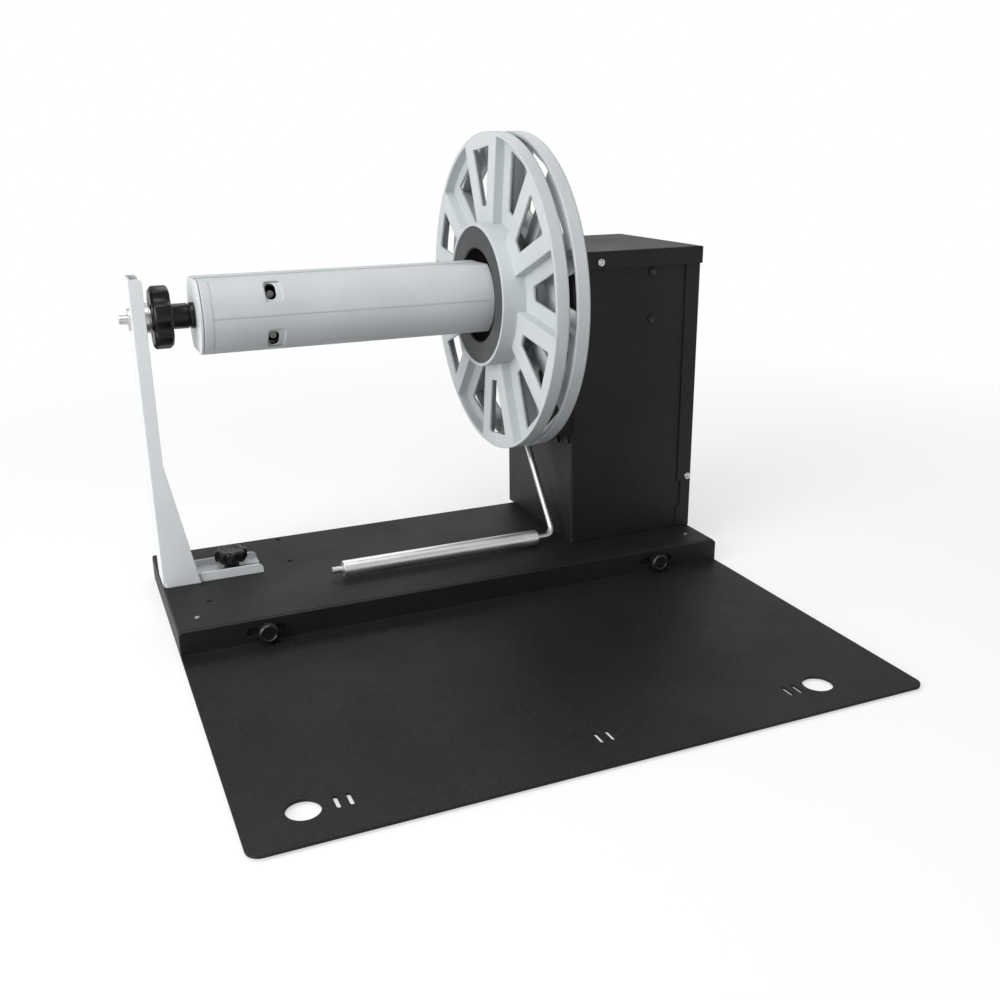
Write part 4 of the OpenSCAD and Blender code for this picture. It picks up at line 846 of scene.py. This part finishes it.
@dataclass
class WindowShadeLiners:
    """Near-black linings in the mandrel's windows, and near-black seats under the screws behind them:
    painted shade inside the windows.
    """

    shell: float = 38 * MM
    inner: float = 35 * MM
    pocket: float = 1.2 * MM
    length: float = 9 * MM
    height: float = 12.5 * MM
    corner: float = 4 * MM
    rise: float = 20 * MM
    wall: float = 0.45 * MM
    play: float = 0.06 * MM
    reach: float = 0.8 * MM
    seat_half: float = 5.9 * MM
    seat_depth: float = 21.8 * MM
    seat_thick: float = 0.5 * MM
    screw_rise: float = 17.5 * MM
    screw: float = 2.6 * MM
    steps: int = 6
    seat_steps: int = 32
    seat_corner: float = 1.15

    def outline(self, inset: float) -> list[tuple[float, float]]:
        """Gives the window's rounded outline.

        Args:
            inset: Distance that it is drawn in.

        Returns:
            Places along X and Z round the window's middle.
        """
        r = self.corner - inset
        half_l, half_h = self.length / 2 - inset - r, self.height / 2 - inset - r
        points = []
        for quarter, (sx, sz) in enumerate(((1, 1), (-1, 1), (-1, -1), (1, -1))):
            for i in range(self.steps + 1):
                angle = math.pi / 2 * (quarter + i / self.steps)
                points.append((sx * half_l + r * math.cos(angle), sz * half_h + r * math.sin(angle)))
        return points

    def ring(self, bm: bmesh.types.BMesh, place: tuple[float, float, int], inset: float, radius: float,
             sink: float) -> Row:
        """Lays one ring of points on a cylinder round the spindle.

        Args:
            bm: The mesh data.
            place: The window's X, its height above the spindle, and 1 on the rear shell or -1 on the front.
            inset: Distance that the outline is drawn in.
            radius: The cylinder's radius.
            sink: Depth below the cylinder.

        Returns:
            The ring's points.
        """
        made = []
        centre_x, rise, side = place
        for x, z in self.outline(inset):
            deep = math.sqrt(radius ** 2 - (rise + z) ** 2) - sink
            made.append(bm.verts.new((centre_x + x, SPINDLE_Y + side * deep, SPINDLE_Z + rise + z)))
        return made

    def build(self, finishes: Finishes) -> None:
        """Builds the near-black linings, painted shade, in the windows of both shells.

        Args:
            finishes: The machine's finishes.
        """
        low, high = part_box("shell_guide_screws")
        centre_x = (low.x + high.x) / 2
        top = self.shell - self.pocket
        for body, side in (("shell_front", -1), ("shell_rear", 1)):
            bm = bmesh.new()
            for rise in (-self.rise, self.rise):
                place = (centre_x, rise, side)
                rows = [self.ring(bm, place, self.play, top, self.play),
                        self.ring(bm, place, self.wall, top, self.play),
                        self.ring(bm, place, self.wall, self.inner, self.reach),
                        self.ring(bm, place, self.play, self.inner, self.reach)]
                join_rings(bm, rows, True)
            bmesh.ops.recalc_face_normals(bm, faces=bm.faces[:])
            # The linings take the near-black finish as painted shade on the window walls
            dress(finish_mesh(body + "_shade_liners", bm), body, "black_plastic", finishes, look="deep_black")
        self.build_seats(centre_x, finishes)

    def seat_ring(self, bm: bmesh.types.BMesh, centre: Vector, outer: bool) -> Row:
        """Lays one ring of a seat's points.

        Args:
            bm: The mesh data.
            centre: The ring's middle.
            outer: Follows the seat's square outside, not the screw's hole.

        Returns:
            The ring's points.
        """
        row = []
        for i in range(self.seat_steps):
            angle = math.tau * i / self.seat_steps
            across, rise = math.cos(angle), math.sin(angle)
            square = self.seat_half / max(abs(across), abs(rise))
            r = min(square, self.seat_corner * self.seat_half) if outer else self.screw
            row.append(bm.verts.new(centre + Vector((r * across, 0, r * rise))))
        return row

    def build_seats(self, centre_x: float, finishes: Finishes) -> None:
        """Builds the near-black seats under the heads of the guide screws, painted shade behind the windows.

        Args:
            centre_x: Place of the windows along X.
            finishes: The machine's finishes.
        """
        bm = bmesh.new()
        for side in (-1, 1):
            face = SPINDLE_Y + side * self.seat_depth
            back = SPINDLE_Y + side * (self.seat_depth - self.seat_thick)
            for rise in (-self.screw_rise, self.screw_rise):
                near = Vector((centre_x, face, SPINDLE_Z + rise))
                far = Vector((centre_x, back, SPINDLE_Z + rise))
                rows = [self.seat_ring(bm, near, True), self.seat_ring(bm, near, False),
                        self.seat_ring(bm, far, False), self.seat_ring(bm, far, True)]
                join_rings(bm, rows, True)
        bmesh.ops.recalc_face_normals(bm, faces=bm.faces[:])
        # Painted shade: near-black seats behind the screws, in the near-black finish
        dress(finish_mesh("guide_shade_seats", bm), "spindle", "black_plastic", finishes, look="deep_black")


@dataclass
class CrankGrip:
    """The turned grip of the hand crank."""

    steps: int = 40
    neck: float = 0.70
    belly: float = 0.8
    bore: float = 4.1 * MM
    lead: tuple[Ring, ...] = ((0, 0.60), (0.4, 0.66))
    tail: tuple[Ring, ...] = ((0.6, 0.74), (0, 0.62))

    def build(self, finishes: Finishes) -> None:
        """Builds the grip round its pin.

        Args:
            finishes: The machine's finishes.
        """
        low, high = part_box("crank_grip")
        pin_low, pin_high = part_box("grip_pin")
        full, length = (high.z - low.z) / 2, high.x - low.x
        rings = [(0, self.bore)] + [(along * MM, share * full) for along, share in self.lead]
        for i in range(1, self.steps):
            u = i / self.steps
            swell = math.sin(math.pi * (0.12 + 0.80 * u) ** self.belly)
            rings.append((u * length, min(full, full * (self.neck + (1 - self.neck) * swell))))
        rings += [(length - along * MM, share * full) for along, share in self.tail] + [(length, self.bore)]
        log.info("the pin is %.1f mm long", (pin_high.x - pin_low.x) / MM)
        turned = Turned(Vector((low.x, (low.y + high.y) / 2, (low.z + high.z) / 2)), segments=128)
        grip = turned.build("crank_grip_body", rings, tube=True)
        dress(grip, "grip", "black_plastic", finishes, "crank_grip")


@dataclass
class CadNodes:
    """The CAD pieces whose own shape is shown."""

    record: dict
    nodes: dict[str, bpy.types.Object]
    looks: dict[str, str] = field(default_factory=lambda: {"shell_guide_screws": "dull_steel"})

    def dress(self, finishes: Finishes) -> None:
        """Gives every node its own look, or else the finish of its slot.

        Args:
            finishes: The machine's finishes.
        """
        slots = {p["node"]: p["material_slot"] for p in self.record["subparts"]}
        for name, node in self.nodes.items():
            node.data.materials.clear()
            node.data.materials.append(finishes.get(self.looks.get(name, slots[name])))
            for face in node.data.polygons:
                face.material_index = 0
            log.info("%s keeps its CAD shape in %s", name, slots[name])


@dataclass(frozen=True)
class Lamp:
    """A soft round lamp that faces the machine."""

    name: str
    place: tuple[float, float, float]
    size: float
    power: float


@dataclass
class Studio:
    """Camera, lamps and floor."""

    eye: Vector = field(default_factory=lambda: Vector((-0.37172, -0.83840, 0.40888)))
    yaw: float = 0.4020
    pitch: float = 0.3247
    roll: float = 0.0111
    lens: float = 38.72
    ambient: float = 0.28
    mirrored: float = 0.42
    aim: tuple[float, float, float] = (0, 0, 0.15)
    lamps: tuple[Lamp, ...] = (Lamp("top_lamp", (-0.55, -0.45, 2.3), 1.6, 26.0),
                               Lamp("side_lamp", (-2.2, -0.8, 1.0), 1.8, 54.0),
                               Lamp("back_lamp", (0.6, 1.7, 2.1), 1.6, 12.0))

    def build(self) -> None:
        """Builds all of it."""
        bpy.context.scene.view_settings.view_transform = "Standard"
        self.make_camera()
        self.make_world()
        self.make_floor()
        for lamp in self.lamps:
            self.make_lamp(lamp)
        log.info("studio is set")

    def make_camera(self) -> None:
        """Puts the camera where the photograph was taken."""
        data = bpy.data.cameras.new("camera")
        data.lens, data.sensor_width, data.sensor_fit = self.lens, 36.0, "HORIZONTAL"
        data.clip_start, data.clip_end = 0.01, 50.0
        camera = bpy.data.objects.new("camera", data)
        level = math.cos(self.pitch)
        forward = Vector((math.sin(self.yaw) * level, math.cos(self.yaw) * level, -math.sin(self.pitch)))
        camera.location = self.eye
        camera.rotation_mode = "QUATERNION"
        camera.rotation_quaternion = Quaternion(forward, self.roll) @ forward.to_track_quat("-Z", "Y")
        bpy.context.scene.collection.objects.link(camera)
        bpy.context.scene.camera = camera

    def make_world(self) -> None:
        """Lights evenly, is white to the camera, and darkens upwards in reflections."""
        world = bpy.data.worlds.new("world")
        world.use_nodes = True
        n = Nodes(world.node_tree)
        path = n.node("ShaderNodeLightPath").outputs
        ray = n.node("ShaderNodeSeparateXYZ", {0: n.node("ShaderNodeTexCoord").outputs["Generated"]})
        mirrored = n.span(ray.outputs["Z"], 1.0, self.mirrored, 0.12, 0.38)
        indirect = n.choose(path["Is Glossy Ray"], self.ambient, mirrored)
        strength = n.choose(n.either(path["Is Camera Ray"], path["Is Transmission Ray"]), indirect, 1.0)
        background = n.node("ShaderNodeBackground", {"Color": (1, 1, 1, 1), "Strength": strength})
        n.node("ShaderNodeOutputWorld", {"Surface": background.outputs[0]})
        bpy.context.scene.world = world

    def make_floor(self) -> None:
        """Lays a white floor that keeps a soft shadow."""
        bm = bmesh.new()
        bmesh.ops.create_grid(bm, x_segments=1, y_segments=1, size=12.0)
        floor = finish_mesh("floor", bm)
        g = Graph("floor_white")
        plain = g.node("ShaderNodeBsdfDiffuse", {"Color": (0.9, 0.9, 0.9, 1)})
        glow = g.node("ShaderNodeEmission", {"Color": (1, 1, 1, 1), "Strength": 1.0})
        path = g.node("ShaderNodeLightPath").outputs
        seen = g.either(path["Is Camera Ray"], path["Is Glossy Ray"], path["Is Transmission Ray"])
        far = g.node("ShaderNodeVectorMath", {0: g.place}, operation="LENGTH")
        fade = g.span(far.outputs["Value"], 0.6, 1.0, 0.5, 1.3)
        share = g.node("ShaderNodeMath", {0: seen, 1: fade}, operation="MULTIPLY")
        mix = g.node("ShaderNodeMixShader", {0: share.outputs[0], 1: plain.outputs[0], 2: glow.outputs[0]})
        g.tree.links.new(mix.outputs[0], g.output.inputs[0])
        floor.data.materials.append(g.material)

    def make_lamp(self, lamp: Lamp) -> None:
        """Hangs a lamp.

        Args:
            lamp: The lamp.
        """
        data = bpy.data.lights.new(lamp.name, "AREA")
        data.shape, data.size, data.energy = "DISK", lamp.size, lamp.power
        made = bpy.data.objects.new(lamp.name, data)
        made.location = lamp.place
        made.rotation_mode = "QUATERNION"
        made.rotation_quaternion = (Vector(self.aim) - Vector(lamp.place)).to_track_quat("-Z", "Y")
        bpy.context.scene.collection.objects.link(made)


def main() -> None:
    """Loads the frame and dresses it."""
    logging.basicConfig(level=logging.INFO, format="%(message)s")
    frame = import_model()
    finishes = Finishes()
    Studio().build()
    CadNodes(frame["record"], frame["nodes"]).dress(finishes)
    for group in (StarKnob(), ClampKnob(), ThumbScrews(), GripRing(), WindowShadeLiners(), CrankGrip()):
        group.build(finishes)


if __name__ == "__main__":
    main()
